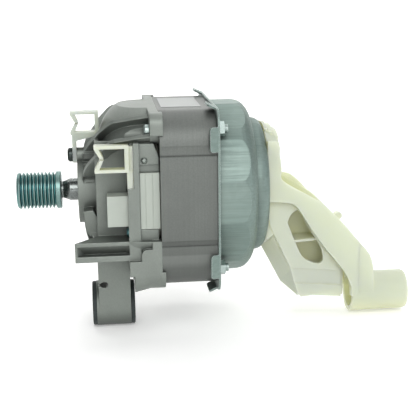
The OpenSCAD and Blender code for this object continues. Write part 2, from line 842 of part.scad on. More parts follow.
module cable_clip_side() {
    color("#dce0cd")
    on_shaft() {
        along_y(-bay_front - 2, clip_depth - bay_front - 2)
            translate([post_left + 1.1 - side_clip_w, bay_top - side_clip_h])
                clip_outline(side_clip_w, side_clip_h);
        block([post_left + 1, -bay_front, bay_top - side_clip_h + 1.4],
            [post_left + post_w - post_neck - seat, -post_back - seat, bay_top - 0.8]);
        block([post_left - 0.1, -bay_front + 0.4, post_shoulder + seat],
            [post_left + post_w - post_neck - seat, -post_back - seat, bay_top - side_clip_h + 1.5]);
    }
}

module rating_label() {
    color("#e8e9e6")
    on_shaft()
        block([stack_front + 3.1, -label_width / 2, stack_flats / 2],
            [stack_front + 3.1 + label_length, label_width / 2, stack_flats / 2 + label_t]);
}

// Sixteen sided outline of the front drum, with flat panels on the four sides
function drum_corners(r) = [for (q = [0:3]) for (a = [13.3, 45 - corner_turn, 45 + corner_turn, 76.7])
    [r * cos(q * 90 + a), r * sin(q * 90 + a)]];

// Arc of [radius, x] points about a centre, from its outermost to its rearmost point
function arc_points(cr, cx, r, n) = [for (i = [0:n]) [cr + r * cos(90 * i / n), cx + r * sin(90 * i / n)]];

// Pressed shape of the cover, filled to the axis and moved inwards by the sheet thickness for its inside
module cover_solid(t) {
    inner = t > 0;
    dish_r = rear_outer_d / 2 + press + sheet_t + dish_ring + t;
    dish_x = cover_end - 8.4 - t;
    cup_r = rear_outer_d / 2 + press + sheet_t - t;
    turn(concat(
        [[0, flange_front - (inner ? 1 : 0)], [drum_r - t, flange_front - (inner ? 1 : 0)]],
        arc_points(drum_r - shoulder_r, drum_end - shoulder_r, shoulder_r - t, 8),
        [[rear_drum_r - t, drum_end - t]],
        arc_points(rear_drum_r - rear_edge_r, cover_end - rear_edge_r, rear_edge_r - t, 8),
        [[dish_r, cover_end - t], [dish_r, dish_x], [cup_r, dish_x], [cup_r, cup_end - t],
            [0, cup_end - t]]));
}

module tab() {
    translate([flange_front + eps, 0, flange_half - sheet_t])
        rotate([0, tab_flare, 0]) rotate([0, 0, 90])
            linear_extrude(sheet_t) {
                translate([-tab_width / 2, 0]) square([tab_width, tab_length - 2]);
                translate([2 - tab_width / 2, 0]) square([tab_width - 4, tab_length]);
                for (s = [-1, 1]) translate([s * (tab_width / 2 - 2), tab_length - 2]) circle(2);
            }
}

module rear_cover() {
    color("#96aaa8")
    on_shaft() {
        difference() {
            union() {
                intersection() {
                    cover_solid(0);
                    along_x(flange_front, cup_end + 1) polygon(drum_corners(drum_r));
                }
                along_x(flange_front, flange_rear) round_square(flange_half, flange_corner_r);
            }
            intersection() {
                cover_solid(sheet_t);
                along_x(flange_front - 1, cup_end + 1) polygon(drum_corners(drum_r - sheet_t));
            }
            at_bolts() rod_x(flange_front - 1, flange_rear + 1, bolt_hole_r);
            rod_x(cup_end - 5, cup_end + 1, stub_d / 2 + 2);
            at_arm_screws() rod_x(cover_end - 5, cover_end + 1, 2.7);
        }
        for (side = [0:3], s = [-1, 1]) rotate([side * 90, 0, 0]) translate([0, s * tab_offset, 0]) tab();
    }
}

module through_bolts() {
    color("#b4bcba")
    on_shaft() at_bolts() {
        rod_x(ear_front - seat - eps, flange_rear + nut_height + bolt_tip, bolt_r);
        turn([[0, ear_front - head_t], [nut_flats / 2 - 0.8, ear_front - head_t],
            [nut_flats / 2, ear_front - head_t + 0.8], [nut_flats / 2, ear_front - seat],
            [0, ear_front - seat]]);
    }
}

module flange_nuts() {
    color("#b4bcba")
    on_shaft() at_bolts()
        difference() {
            rotate([0, 90, 0]) translate([0, 0, flange_rear + seat])
                cylinder(h = nut_height, r = nut_flats / 2 / cos(30), $fn = 6);
            rod_x(flange_rear - 1, flange_rear + nut_height + 1, bolt_r + press);
        }
}

// Places children at the three screws that hold the arm
module at_arm_screws() {
    for (a = [0, 158, -158]) rotate([a, 0, 0]) translate([0, 0, arm_screw_r]) children();
}

// Outline points of the arm, given as distances behind the rear cover and below the shaft axis
function drop(f) = -f * shaft_height;
strap_upper = smooth([[6.3, 32], [8.4, 24], [disc_t + 0.7, 14], [disc_t + 0.3, 8], [16, 2.9],
    [arm_reach - 35, drop(0.045)], [arm_reach - 22.6, drop(0.14)], [arm_reach - 16, drop(0.215)],
    [arm_reach - 8, drop(0.315)], [arm_reach + 3, drop(0.475)], [arm_reach + 12.9, drop(0.625)],
    [arm_reach + 15.9, drop(0.755)]], 3);
strap_lower = smooth([[arm_reach + 0.4, drop(0.9)], [arm_reach - 3.5, drop(0.79)],
    [arm_reach - 10.5, drop(0.67)], [arm_reach - 20, drop(0.53)], [arm_reach - 31.5, drop(0.33)],
    [21.6, drop(0.158)], [15.3, -8.6], [0, -6.5]], 3);
web_edge = [[3, drop(0.305)], [17.8, drop(0.683)]];
beam_end = arm_reach - 7;

module strap_outline() {
    polygon(concat([[0, 33]], strap_upper, [[arm_reach + 16.2, drop(0.985)], [arm_reach + 0.7, drop(0.985)]],
        strap_lower));
}

// Hump that the far strap has on its upper edge
module hump_outline() {
    polygon(concat(smooth([[13, 4.4], [16.5, 3.2], [20.4, 2.3], [25, 1.3], [30, -2.1], [34.2, -6.2],
        [38, -11.2]], 3), [[28, -9], [16, -3], [12, 0]]));
}

// Lower web seen from the side
module web_outline() {
    polygon(concat([[0, drop(0.1)]], web_edge, [[beam_end, drop(0.762)], [beam_end, drop(0.69)]],
        [for (p = strap_lower) if (p[0] < beam_end) p + [1, 2]]));
}

// Beam along the bottom of the lower web, between two lines that fall a little towards the tube
module beam_outline(top, bottom) {
    polygon([[17.4 + 25 * (top - 0.68), drop(top)], [17.4 + 25 * (bottom - 0.68), drop(bottom)],
        [beam_end + 0.5, drop(bottom + 0.07)], [beam_end + 0.5, drop(top + 0.07)]]);
}

module window_outline() {
    polygon(smooth([[14.6, drop(0.286)], [16.8, drop(0.225)], [20.5, drop(0.19)], [23.5, drop(0.205)],
        [27, drop(0.295)], [32.8, drop(0.413)], [38.4, drop(0.53)], [40.4, drop(0.64)], [36.6, drop(0.672)],
        [28, drop(0.625)], [23.4, drop(0.553)], [19, drop(0.422)], [14.6, drop(0.286)]], 3));
}

// Wall that runs in from the cover towards the tube, then straight along it, on the given sides
module side_walls(inset, t, sides = [0, 1]) {
    run = arm_bend - cover_end;
    half = strap_half - inset;
    half_end = tube_r - 0.3 - inset;
    slope = atan((half - half_end) / run);
    for (side = sides) mirror([0, side, 0]) translate([cover_end, 0, 0]) {
        translate([0, -half, 0]) rotate([0, 0, slope]) along_y(0, t)
            clipped(-1, run / cos(slope) + 0.2) children();
        along_y(-half_end, t - half_end) clipped(run, run + 60)
            translate([run - run / cos(slope), 0]) children();
    }
}

// Space between the side walls, seen from above
module between_walls(inset) {
    linear_extrude(400, center = true)
        polygon([[cover_end - 1, inset - strap_half], [arm_bend, inset - tube_r],
            [tube_front + 20, inset - tube_r], [tube_front + 20, tube_r - inset],
            [arm_bend, tube_r - inset], [cover_end - 1, strap_half - inset]]);
}

// Slanted skin of the keel between an edge of the lower web and the ridge below it
module keel_skin(a, b, ridge_a, ridge_b) {
    hull() {
        for (p = [a, b, ridge_a, ridge_b]) translate(p) cube(web_t, center = true);
    }
}

// Base of the arm on the cover: a cone with three steps at its top, hollow for the speed coil
module arm_base() {
    intersection() {
        union() {
            turn([[0, cover_end + seat], [disc_r - 1.2, cover_end + seat],
                [disc_r - 5, cover_end + disc_t - 1.5], [disc_r - 6.5, cover_end + disc_t],
                [0, cover_end + disc_t]]);
            intersection() {
                union() {
                    rod_x(cover_end + seat, cover_end + 2.2, disc_r);
                    rod_x(cover_end + 2, cover_end + 5.8, disc_r - 1.8);
                    rod_x(cover_end + 5.6, cover_end + disc_t, disc_r - 4.6);
                }
                block([cover_end, -15, 10], [cover_end + disc_t, 15, disc_r]);
            }
        }
        between_walls(4.4);
    }
}

module rear_arm() {
    keel_y = strap_half - 9.2;
    edge = [[cover_end + 2.5, keel_y, drop(0.3)], [cover_end + 18.8, keel_y - 3.5, drop(0.7)],
        [cover_end + 24, keel_y - 5.2, drop(0.93)]];
    ridge = [[cover_end + 2.5, 0, drop(0.545)], [cover_end + 15.5, 0, drop(0.86)],
        [cover_end + 26.6, 0, drop(0.985)]];
    color("#dce0cd")
    difference() {
        union() {
            on_shaft() {
                arm_base();
                side_walls(0, strap_t) strap_outline();
                side_walls(0.4, strap_t - 0.8, [1]) hump_outline();
                difference() {
                    side_walls(4, web_t) web_outline();
                    along_y(-60, 60) translate([cover_end, 0]) window_outline();
                }
                side_walls(4.6, web_t - 0.6) beam_outline(0.68, 0.824);
                side_walls(4.1, web_t - 0.2) beam_outline(0.822, 0.925);
                intersection() {
                    between_walls(1);
                    along_y(-60, 60) translate([cover_end, 0])
                        polygon(concat([for (p = strap_lower) p + [1.2, 1.2]],
                            [for (i = [len(strap_lower) - 1:-1:0]) strap_lower[i] + [2.6, 3.6]]));
                }
                intersection() {
                    between_walls(5.4);
                    along_y(-60, 60) translate([cover_end, 0]) {
                        translate([17, drop(0.47)]) square([arm_reach - 38, 1.6]);
                        translate([25, drop(0.955)]) square([beam_end - 24.5, web_t]);
                        translate([beam_end - 1.6, drop(0.98)]) square([web_t - 0.3, 0.34 * shaft_height]);
                    }
                }
                intersection() {
                    between_walls(5.4);
                    along_y(-1.1, 1.1) translate([cover_end, 0])
                        polygon(concat([[1, drop(0.14)], [3, drop(0.5)], [16, drop(0.83)], [27, drop(0.965)],
                            [beam_end, drop(0.965)]],
                            [for (p = strap_lower) if (p[0] < beam_end) p + [2, 2.6]]));
                }
                for (s = [-1, 1], i = [0:1])
                    keel_skin([edge[i][0], s * edge[i][1], edge[i][2]], [edge[i + 1][0], s * edge[i + 1][1],
                        edge[i + 1][2]], ridge[i], ridge[i + 1]);
                translate([cover_end + arm_reach - 4, 0, drop(0.364)])
                    along_y(0.08 * strap_half + 12, strap_half - 10) circle(2.6);
                for (y = [-12, 12])
                    block([cover_end + disc_t - 1, y - 1.2, -5], [cover_end + disc_t + 2, y + 1.2, 12]);
            }
            rod_x(tube_front, tube_front + tube_length - 1.5, tube_r);
            rod_x(tube_front + tube_length - 3, tube_front + tube_length, tube_r - 0.6);
        }
        rod_x(tube_front - 4, tube_front + tube_length + 1, tube_bore_d / 2);
        on_shaft() {
            rod_x(cover_end - 1, cover_end + disc_t - 2, rear_outer_d / 2 + 3);
            at_arm_screws() rod_x(cover_end - 1, cover_end + disc_t + 1, 2.7);
            at_arm_screws() rod_x(arm_screw_seat, cover_end + disc_t + 12, 5.2);
            rod_x(stack_rear, cover_end + seat, stack_flats);
        }
    }
}

module arm_screws() {
    color("#b4bcba")
    on_shaft() at_arm_screws() mirror([1, 0, 0])
        screw_x(-(arm_screw_seat + seat), 4.8, 2.8, 2.45,
            arm_screw_seat - cover_end + sheet_t + arm_nut_t + 0.2);
}

module arm_nuts() {
    color("#96aaa8")
    on_shaft() at_arm_screws()
        difference() {
            block([cover_end - sheet_t - seat - arm_nut_t, -nut_flats / 2, -nut_flats / 2],
                [cover_end - sheet_t - seat, nut_flats / 2, nut_flats / 2]);
            rod_x(cover_end - 10, cover_end, 2.45 + press);
        }
}

// Ring of the speed sensor, in the hollow behind the rear bearing
module speed_coil() {
    color("#c8a050")
    on_shaft()
        difference() {
            rod_x(cup_end + seat, cover_end + disc_t - 2 - seat, rear_outer_d / 2 + 2.9);
            rod_x(cup_end - 1, cover_end + disc_t, stub_d / 2 + 4.4);
        }
}

module speed_magnet() {
    color("#3c3f44")
    on_shaft()
        difference() {
            rod_x(cup_end + 0.5, stub_end - 0.5, stub_d / 2 + 4);
            rod_x(cup_end, stub_end + 1, stub_d / 2 + press);
        }
}

module preload_washer() {
    color("#9aa0a2")
    on_shaft()
        difference() {
            rod_x(rear_seat_end + press, rear_seat_end + washer_t - press, rear_outer_d / 2 - 0.4);
            rod_x(rear_seat_end - 1, rear_seat_end + 2, rear_outer_d / 2 - 2.8);
        }
}

module retainer_ring() {
    color("#9aa0a2")
    on_shaft()
        difference() {
            rod_x(front_seat_end + seat, front_seat_end + 1.2, front_outer_d / 2);
            rod_x(front_seat_end, front_seat_end + 2, front_outer_d / 2 - 2.4);
        }
}

// Ball bearings. The track radius keeps a running gap of a twentieth of a millimetre round the balls.
running = 0.05;
function pitch_r(bore_d, outer_d) = (bore_d + outer_d) / 4;

module track(x0, width, bore_d, outer_d, ball_d) {
    rotate([0, 90, 0]) rotate_extrude() translate([pitch_r(bore_d, outer_d), x0 + width / 2])
        circle(ball_d / 2 + running);
}

module bearing_outer(x0, width, bore_d, outer_d, ball_d) {
    on_shaft()
        difference() {
            rod_x(x0, x0 + width, outer_d / 2);
            rod_x(x0 - 1, x0 + width + 1, pitch_r(bore_d, outer_d) + ball_d * 0.33);
            track(x0, width, bore_d, outer_d, ball_d);
        }
}

module bearing_inner(x0, width, bore_d, outer_d, ball_d) {
    on_shaft()
        difference() {
            rod_x(x0, x0 + width, pitch_r(bore_d, outer_d) - ball_d * 0.33);
            rod_x(x0 - 1, x0 + width + 1, bore_d / 2 + press);
            track(x0, width, bore_d, outer_d, ball_d);
        }
}

module bearing_ball_set(x0, width, bore_d, outer_d, ball_d, count) {
    on_shaft()
        for (i = [0:count - 1]) rotate([360 * i / count, 0, 0])
            translate([x0 + width / 2, 0, pitch_r(bore_d, outer_d)]) sphere(d = ball_d);
}

module bearing_cage(x0, width, bore_d, outer_d, ball_d, count) {
    on_shaft()
        difference() {
            rod_x(x0 + width / 2 - ball_d * 0.6, x0 + width / 2 + ball_d * 0.6,
                pitch_r(bore_d, outer_d) + ball_d * 0.17);
            rod_x(x0 - 1, x0 + width + 1, pitch_r(bore_d, outer_d) - ball_d * 0.17);
            for (i = [0:count - 1]) rotate([360 * i / count, 0, 0])
                translate([x0 + width / 2, 0, pitch_r(bore_d, outer_d)]) sphere(d = ball_d + 2 * running);
        }
}

module bearing_seals(x0, width, bore_d, outer_d, ball_d) {
    on_shaft()
        for (x = [x0 + 0.3, x0 + width - 1])
            difference() {
                rod_x(x, x + 0.7, pitch_r(bore_d, outer_d) + ball_d * 0.33 - press);
                rod_x(x - 1, x + 2, pitch_r(bore_d, outer_d) - ball_d * 0.33 + 0.1);
            }
}

module front_bearing_outer() {
    color("#b8bcc0") bearing_outer(front_seat, front_width, front_bore_d, front_outer_d, front_ball_d);
}

module front_bearing_inner() {
    color("#b8bcc0") bearing_inner(front_seat, front_width, front_bore_d, front_outer_d, front_ball_d);
}

module front_bearing_balls() {
    color("#d8dcdf")
    bearing_ball_set(front_seat, front_width, front_bore_d, front_outer_d, front_ball_d, front_balls);
}

module front_bearing_cage() {
    color("#a08850")
    bearing_cage(front_seat, front_width, front_bore_d, front_outer_d, front_ball_d, front_balls);
}

module front_bearing_seals() {
    color("#2a2c2e") bearing_seals(front_seat, front_width, front_bore_d, front_outer_d, front_ball_d);
}

module rear_bearing_outer() {
    color("#b8bcc0") bearing_outer(rear_seat, rear_width, rear_bore_d, rear_outer_d, rear_ball_d);
}

module rear_bearing_inner() {
    color("#b8bcc0") bearing_inner(rear_seat, rear_width, rear_bore_d, rear_outer_d, rear_ball_d);
}

module rear_bearing_balls() {
    color("#d8dcdf")
    bearing_ball_set(rear_seat, rear_width, rear_bore_d, rear_outer_d, rear_ball_d, rear_balls);
}

module rear_bearing_cage() {
    color("#a08850") bearing_cage(rear_seat, rear_width, rear_bore_d, rear_outer_d, rear_ball_d, rear_balls);
}

module rear_bearing_seals() {
    color("#2a2c2e") bearing_seals(rear_seat, rear_width, rear_bore_d, rear_outer_d, rear_ball_d);
}

module pulley() {
    root_r = pulley_d / 2 - groove_depth;
    color("#5a8282")
    on_shaft()
        turn(concat(
            [[pulley_seat_d / 2 + press, pulley_front], [pulley_d / 2 - 1, pulley_front],
                [pulley_d / 2 - 0.2, pulley_front + 0.8]],
            [for (i = [0:groove_count - 1]) let (x = groove_front + i * groove_pitch)
                each [[pulley_d / 2, x], [pulley_d / 2, x + 0.2 * groove_pitch],
                    [root_r, x + 0.48 * groove_pitch], [root_r, x + 0.62 * groove_pitch],
                    [pulley_d / 2, x + 0.9 * groove_pitch]]],
            [[pulley_d / 2, groove_rear], [pulley_flange_d / 2, groove_rear],
                [pulley_flange_d / 2, pulley_rear - 0.5], [pulley_flange_d / 2 - 0.5, pulley_rear],
                [pulley_seat_d / 2 + press, pulley_rear]]));
}

module shaft() {
    color("#b9bdbf")
    on_shaft()
        turn([[0, pulley_front + 0.6], [pulley_seat_d / 2 - 0.6, pulley_front + 0.6],
            [pulley_seat_d / 2, pulley_front + 1.2], [pulley_seat_d / 2, pulley_rear + seat],
            [pulley_seat_d / 2 + 0.5, pulley_rear + seat], [pulley_seat_d / 2 + 0.5, neck_front + 1.2],
            [neck_d / 2, neck_front + 5.5], [neck_d / 2, front_seat - 0.8],
            [front_bore_d / 2, front_seat - 0.8],
            [front_bore_d / 2, front_seat_end + seat], [core_seat_d / 2, front_seat_end + seat],
            [core_seat_d / 2, rear_seat - 6], [rear_bore_d / 2 + 1.4, rear_seat - 6],
            [rear_bore_d / 2 + 1.4, rear_seat - seat], [rear_bore_d / 2, rear_seat - seat],
            [rear_bore_d / 2, rear_seat_end], [stub_d / 2, rear_seat_end], [stub_d / 2, stub_end - 0.4],
            [stub_d / 2 - 0.4, stub_end], [0, stub_end]]);
}

module rotor_bars(r) {
    for (i = [0:bar_count - 1]) rotate([360 * i / bar_count, 0, 0]) translate([0, 0, bar_circle_r])
        rod_x(stack_front - 1, stack_rear + 1, r);
}

module rotor_core() {
    color("#6f7472")
    on_shaft()
        difference() {
            rod_x(stack_front, stack_rear, rotor_r);
            rod_x(stack_front - 1, stack_rear + 1, core_seat_d / 2 + press);
            rotor_bars(bar_d / 2 + press);
        }
}

// Cast cage: bars through the core, an end ring and fan blades at each end
module squirrel_cage() {
    color("#c4c8c8")
    on_shaft() {
        rotor_bars(bar_d / 2);
        for (x = [stack_front - press - end_ring_length, stack_rear + press])
            difference() {
                rod_x(x, x + end_ring_length, end_ring_r);
                rod_x(x - 1, x + end_ring_length + 1, end_ring_bore_r);
            }
        for (end = [0, 1], i = [0:blade_count - 1]) rotate([360 * i / blade_count, 0, 0])
            block([end == 0 ? stack_front - end_ring_length - blade_length : stack_rear + end_ring_length - 1,
                -0.9, end_ring_bore_r + 0.6],
                [end == 0 ? stack_front - end_ring_length + 1 : stack_rear + end_ring_length + blade_length,
                0.9, end_ring_r - 0.6]);
    }
}

front_shield();
front_bush_rubber();
front_bush_sleeve();
stator_core();
stator_winding();
front_winding_collar();
rear_winding_collar();
thermal_protector();
connector_block();
contact_pins();
earth_screw();
bay_screw();
cable_clip_top();
clip_screw();
cable_clip_side();
rating_label();
rear_cover();
through_bolts();
flange_nuts();
rear_arm();
arm_screws();
arm_nuts();
speed_coil();
preload_washer();
retainer_ring();
front_bearing_outer();
front_bearing_inner();
front_bearing_balls();
front_bearing_cage();
front_bearing_seals();
rear_bearing_outer();
rear_bearing_inner();
rear_bearing_balls();
rear_bearing_cage();
rear_bearing_seals();
pulley();
shaft();
rotor_core();
squirrel_cage();
speed_magnet();
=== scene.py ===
"""Washing machine drive motor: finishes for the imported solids, and the pieces that they leave out.

Metres, in the frame of the solids: X runs along the shaft away from the pulley, Z is up, and the
photographed side faces minus Y. The origin is the centre of the front pivot bore.
"""
import math

import bmesh
import bpy
from mathutils import Matrix, Vector


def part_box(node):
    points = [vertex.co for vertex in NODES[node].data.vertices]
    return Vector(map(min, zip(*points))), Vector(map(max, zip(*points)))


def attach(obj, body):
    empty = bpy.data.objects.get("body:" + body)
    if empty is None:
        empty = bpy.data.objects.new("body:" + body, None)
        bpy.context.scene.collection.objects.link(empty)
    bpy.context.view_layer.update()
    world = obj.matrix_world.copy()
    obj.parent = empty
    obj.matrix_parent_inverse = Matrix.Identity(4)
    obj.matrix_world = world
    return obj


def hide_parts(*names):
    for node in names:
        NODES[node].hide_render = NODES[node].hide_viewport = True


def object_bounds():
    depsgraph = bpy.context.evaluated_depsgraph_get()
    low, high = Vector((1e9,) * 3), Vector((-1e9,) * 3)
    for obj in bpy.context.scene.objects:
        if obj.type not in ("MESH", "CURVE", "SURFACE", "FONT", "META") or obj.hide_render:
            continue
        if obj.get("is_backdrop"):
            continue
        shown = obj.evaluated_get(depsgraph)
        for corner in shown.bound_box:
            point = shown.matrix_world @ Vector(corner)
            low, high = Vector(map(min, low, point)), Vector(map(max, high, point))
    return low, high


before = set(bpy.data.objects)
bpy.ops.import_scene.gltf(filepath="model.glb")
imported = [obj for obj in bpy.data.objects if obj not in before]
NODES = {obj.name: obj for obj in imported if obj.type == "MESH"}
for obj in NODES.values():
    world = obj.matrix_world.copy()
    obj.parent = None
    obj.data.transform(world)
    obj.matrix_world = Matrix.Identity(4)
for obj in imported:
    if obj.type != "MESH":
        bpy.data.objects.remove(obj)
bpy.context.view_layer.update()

bl_info = {
    "name": "Washing machine motor",
    "version": (1, 0, 0),
    "blender": (4, 5, 0),
    "location": "3D View > Sidebar > Motor",
    "description": "Finishes, fasteners and studio for a washing machine drive motor",
    "category": "Object",
}

MM = 0.001

# Places that the solids give
PULLEY_FRONT, PULLEY_REAR = (corner.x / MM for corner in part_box("pulley"))
SHAFT_Z = (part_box("pulley")[0].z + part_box("pulley")[1].z) / 2
STACK_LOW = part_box("stator_core")[0]
NUT_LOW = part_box("flange_nuts")[0]
BOLT_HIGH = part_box("through_bolts")[1]

# Left end of the bay's shelf: its front corner, and how far its end slants per millimetre of depth
SHELF_CORNER = (STACK_LOW.x / MM - 52.5, STACK_LOW.y / MM + 2.75)
SHELF_SLANT = 0.8625

# Web that closes the shelf's undercut there: its corners, as depth and height above the shaft, how
# far it stands inside the slanted end, and which of its eight corners bound each side
WEB_CORNERS = ((0.02, -31.4), (0.02, -24.6), (0.8, -24.6), (5.9, -31.4))
WEB_INSET = 0.06
WEB_SIDES = ((0, 1, 2, 3), (4, 5, 6, 7), (0, 1, 5, 4), (1, 2, 6, 5), (2, 3, 7, 6), (3, 0, 4, 7))

# Stack, in millimetres: pitch of the drawn sheets, heights between which painted shade darkens its
# foot, and those between which a painted highlight of the floor's light on the lower bend comes up and
# ends
SHEET_PITCH = 0.8
PAINTED_SHADE_HEIGHTS = (85.0, 30.0)
PAINTED_BEND_LIGHT_TOP, PAINTED_BEND_LIGHT_FOOT = (47.5, 46.5), (38.5, 42.5)

# Darker bands along the stack's side grooves: middle height, half height and strength of each, and how
# far each fades
GROOVE_DARK_BANDS = ((SHAFT_Z / MM + 32.5, 2.9, 0.1), (SHAFT_Z / MM + 29.6, 0.25, 0.6),
                 (SHAFT_Z / MM - 24.5, 1.5, 0.4), (SHAFT_Z / MM - 26.0, 0.25, 0.3))
GROOVE_BAND_FADE = 0.7

# Zinc crystals and winding wire across, in millimetres
SPANGLE = 4.5
WIRE = 0.6

# Where the pulley's plating is rubbed off, in millimetres: radii between which a groove turns into
# its crest, and places along the shaft where the rear flange and the front face begin
CREST_RADII = (11.25, 11.75)
FLANGE_PLACES = (PULLEY_REAR - 2.2, PULLEY_REAR - 1.9)
FACE_PLACES = (PULLEY_FRONT + 0.25, PULLEY_FRONT + 0.1)

# Cosine between a face and its rounded normal: on an open face, and on an edge
OPEN_FACE, SHARP_EDGE = 0.995, 0.80

# Bolts and nuts, in millimetres: from a bolt's axis to the edge of its head, the washer's height,
# how far the thread starts inside the nut, and the bolt's bare tip
BOLT_HEAD, WASHER_HEIGHT, THREAD_START, BARE_TIP = 4.0, 0.8, 0.3, 0.5

# Shares: washer of the nut's corner radius, thread ridge of the pitch, and the cone that chamfers a
# nut (top, foot and height) of the corner radius
WASHER_SHARE, RIDGE_SHARE = 0.99, 0.42
CONE_TOP, CONE_FOOT, CONE_HEIGHT = 0.86, 3.2, 2.0

# The photograph's camera, from the calibrated view: turn, tilt and roll in radians, place, focal
# length and width of the frame in pixels, sensor in millimetres
CAMERA_YAW, CAMERA_PITCH, CAMERA_ROLL = 0.1138, 0.2434, 0.0098
CAMERA_PLACE = Vector((-0.00028, -0.57855, 0.2059))
FOCAL_PX, FRAME_PX, SENSOR = 900, 420, 36

# Floor and backdrop: the floor's front and back edge, half width, and radius of the sweep
FLOOR_FRONT, FLOOR_BACK, FLOOR_HALF, SWEEP = -3.0, 0.9, 4.0, 0.5

# Soft lights: name, place, target, size, watts and tint
MIDDLE = (0.06, 0.0, 0.06)
LIGHTS = (
    ("key_softbox", (0.02, -1.1, 0.85), MIDDLE, (0.8, 0.8), 9.8, "#ffffff"),
    ("low_fill", (0.0, -1.3, 0.02), MIDDLE, (1.0, 0.3), 2.6, "#ffffff"),
    ("top_softbox", (0.3, 0.05, 1.2), MIDDLE, (1.0, 0.8), 3.4, "#ffffff"),
    ("right_strip", (0.85, -0.42, 0.42), MIDDLE, (0.45, 0.8), 1.8, "#f6fbff"),
    ("backdrop_wash", (0.0, 0.55, 1.1), (0.0, 1.4, 0.35), (1.6, 0.3), 14, "#ffffff"),
)

# Light of the studio's air: stronger from the floor's side than from above
AIR_HEIGHTS, AIR_STRENGTHS = (-0.2, 0.9), (0.45, 0.25)


# ---------------------------------------------------------------- small helpers


def linear(text):
    """Turns an sRGB hex colour into linear red, green and blue."""
    parts = [int(text[i:i + 2], 16) / 255 for i in (1, 3, 5)]
    return tuple(c / 12.92 if c <= 0.04045 else ((c + 0.055) / 1.055) ** 2.4 for c in parts)


def shade(colour, factor):
    """A darker or lighter shade of a linear colour."""
    return [min(1, c * factor) for c in colour]


def rgba(colour):
    return (*colour[:3], 1.0)


def add_node(tree, kind, inputs=None, **settings):
    """Adds one node, sets it up and links or fills its inputs."""
    node = tree.nodes.new(kind)
    for name, value in settings.items():
        setattr(node, name, value)
    for name, value in (inputs or {}).items():
        socket = node.inputs[name]
        if isinstance(value, bpy.types.NodeSocket):
            tree.links.new(value, socket)
        else:
            socket.default_value = value
    return node


def new_piece(name, mesh):
    """Links a mesh at the origin under a piece's name."""
    piece = bpy.data.objects.new(name, mesh)
    bpy.context.scene.collection.objects.link(piece)
    return piece


def close_mesh(shape, name, material):
    """Points a bmesh's faces outwards and turns it into a mesh with one material."""
    bmesh.ops.recalc_face_normals(shape, faces=shape.faces)
    mesh = bpy.data.meshes.new(name)
    shape.to_mesh(mesh)
    shape.free()
    mesh.materials.append(material)
    return mesh


def paint(material, *names):
    """Gives CAD nodes a finish."""
    for name in names:
        mesh = NODES[name].data
        mesh.materials.clear()
        mesh.materials.append(material)
        for polygon in mesh.polygons:
            polygon.material_index = 0


# ---------------------------------------------------------------- finishes


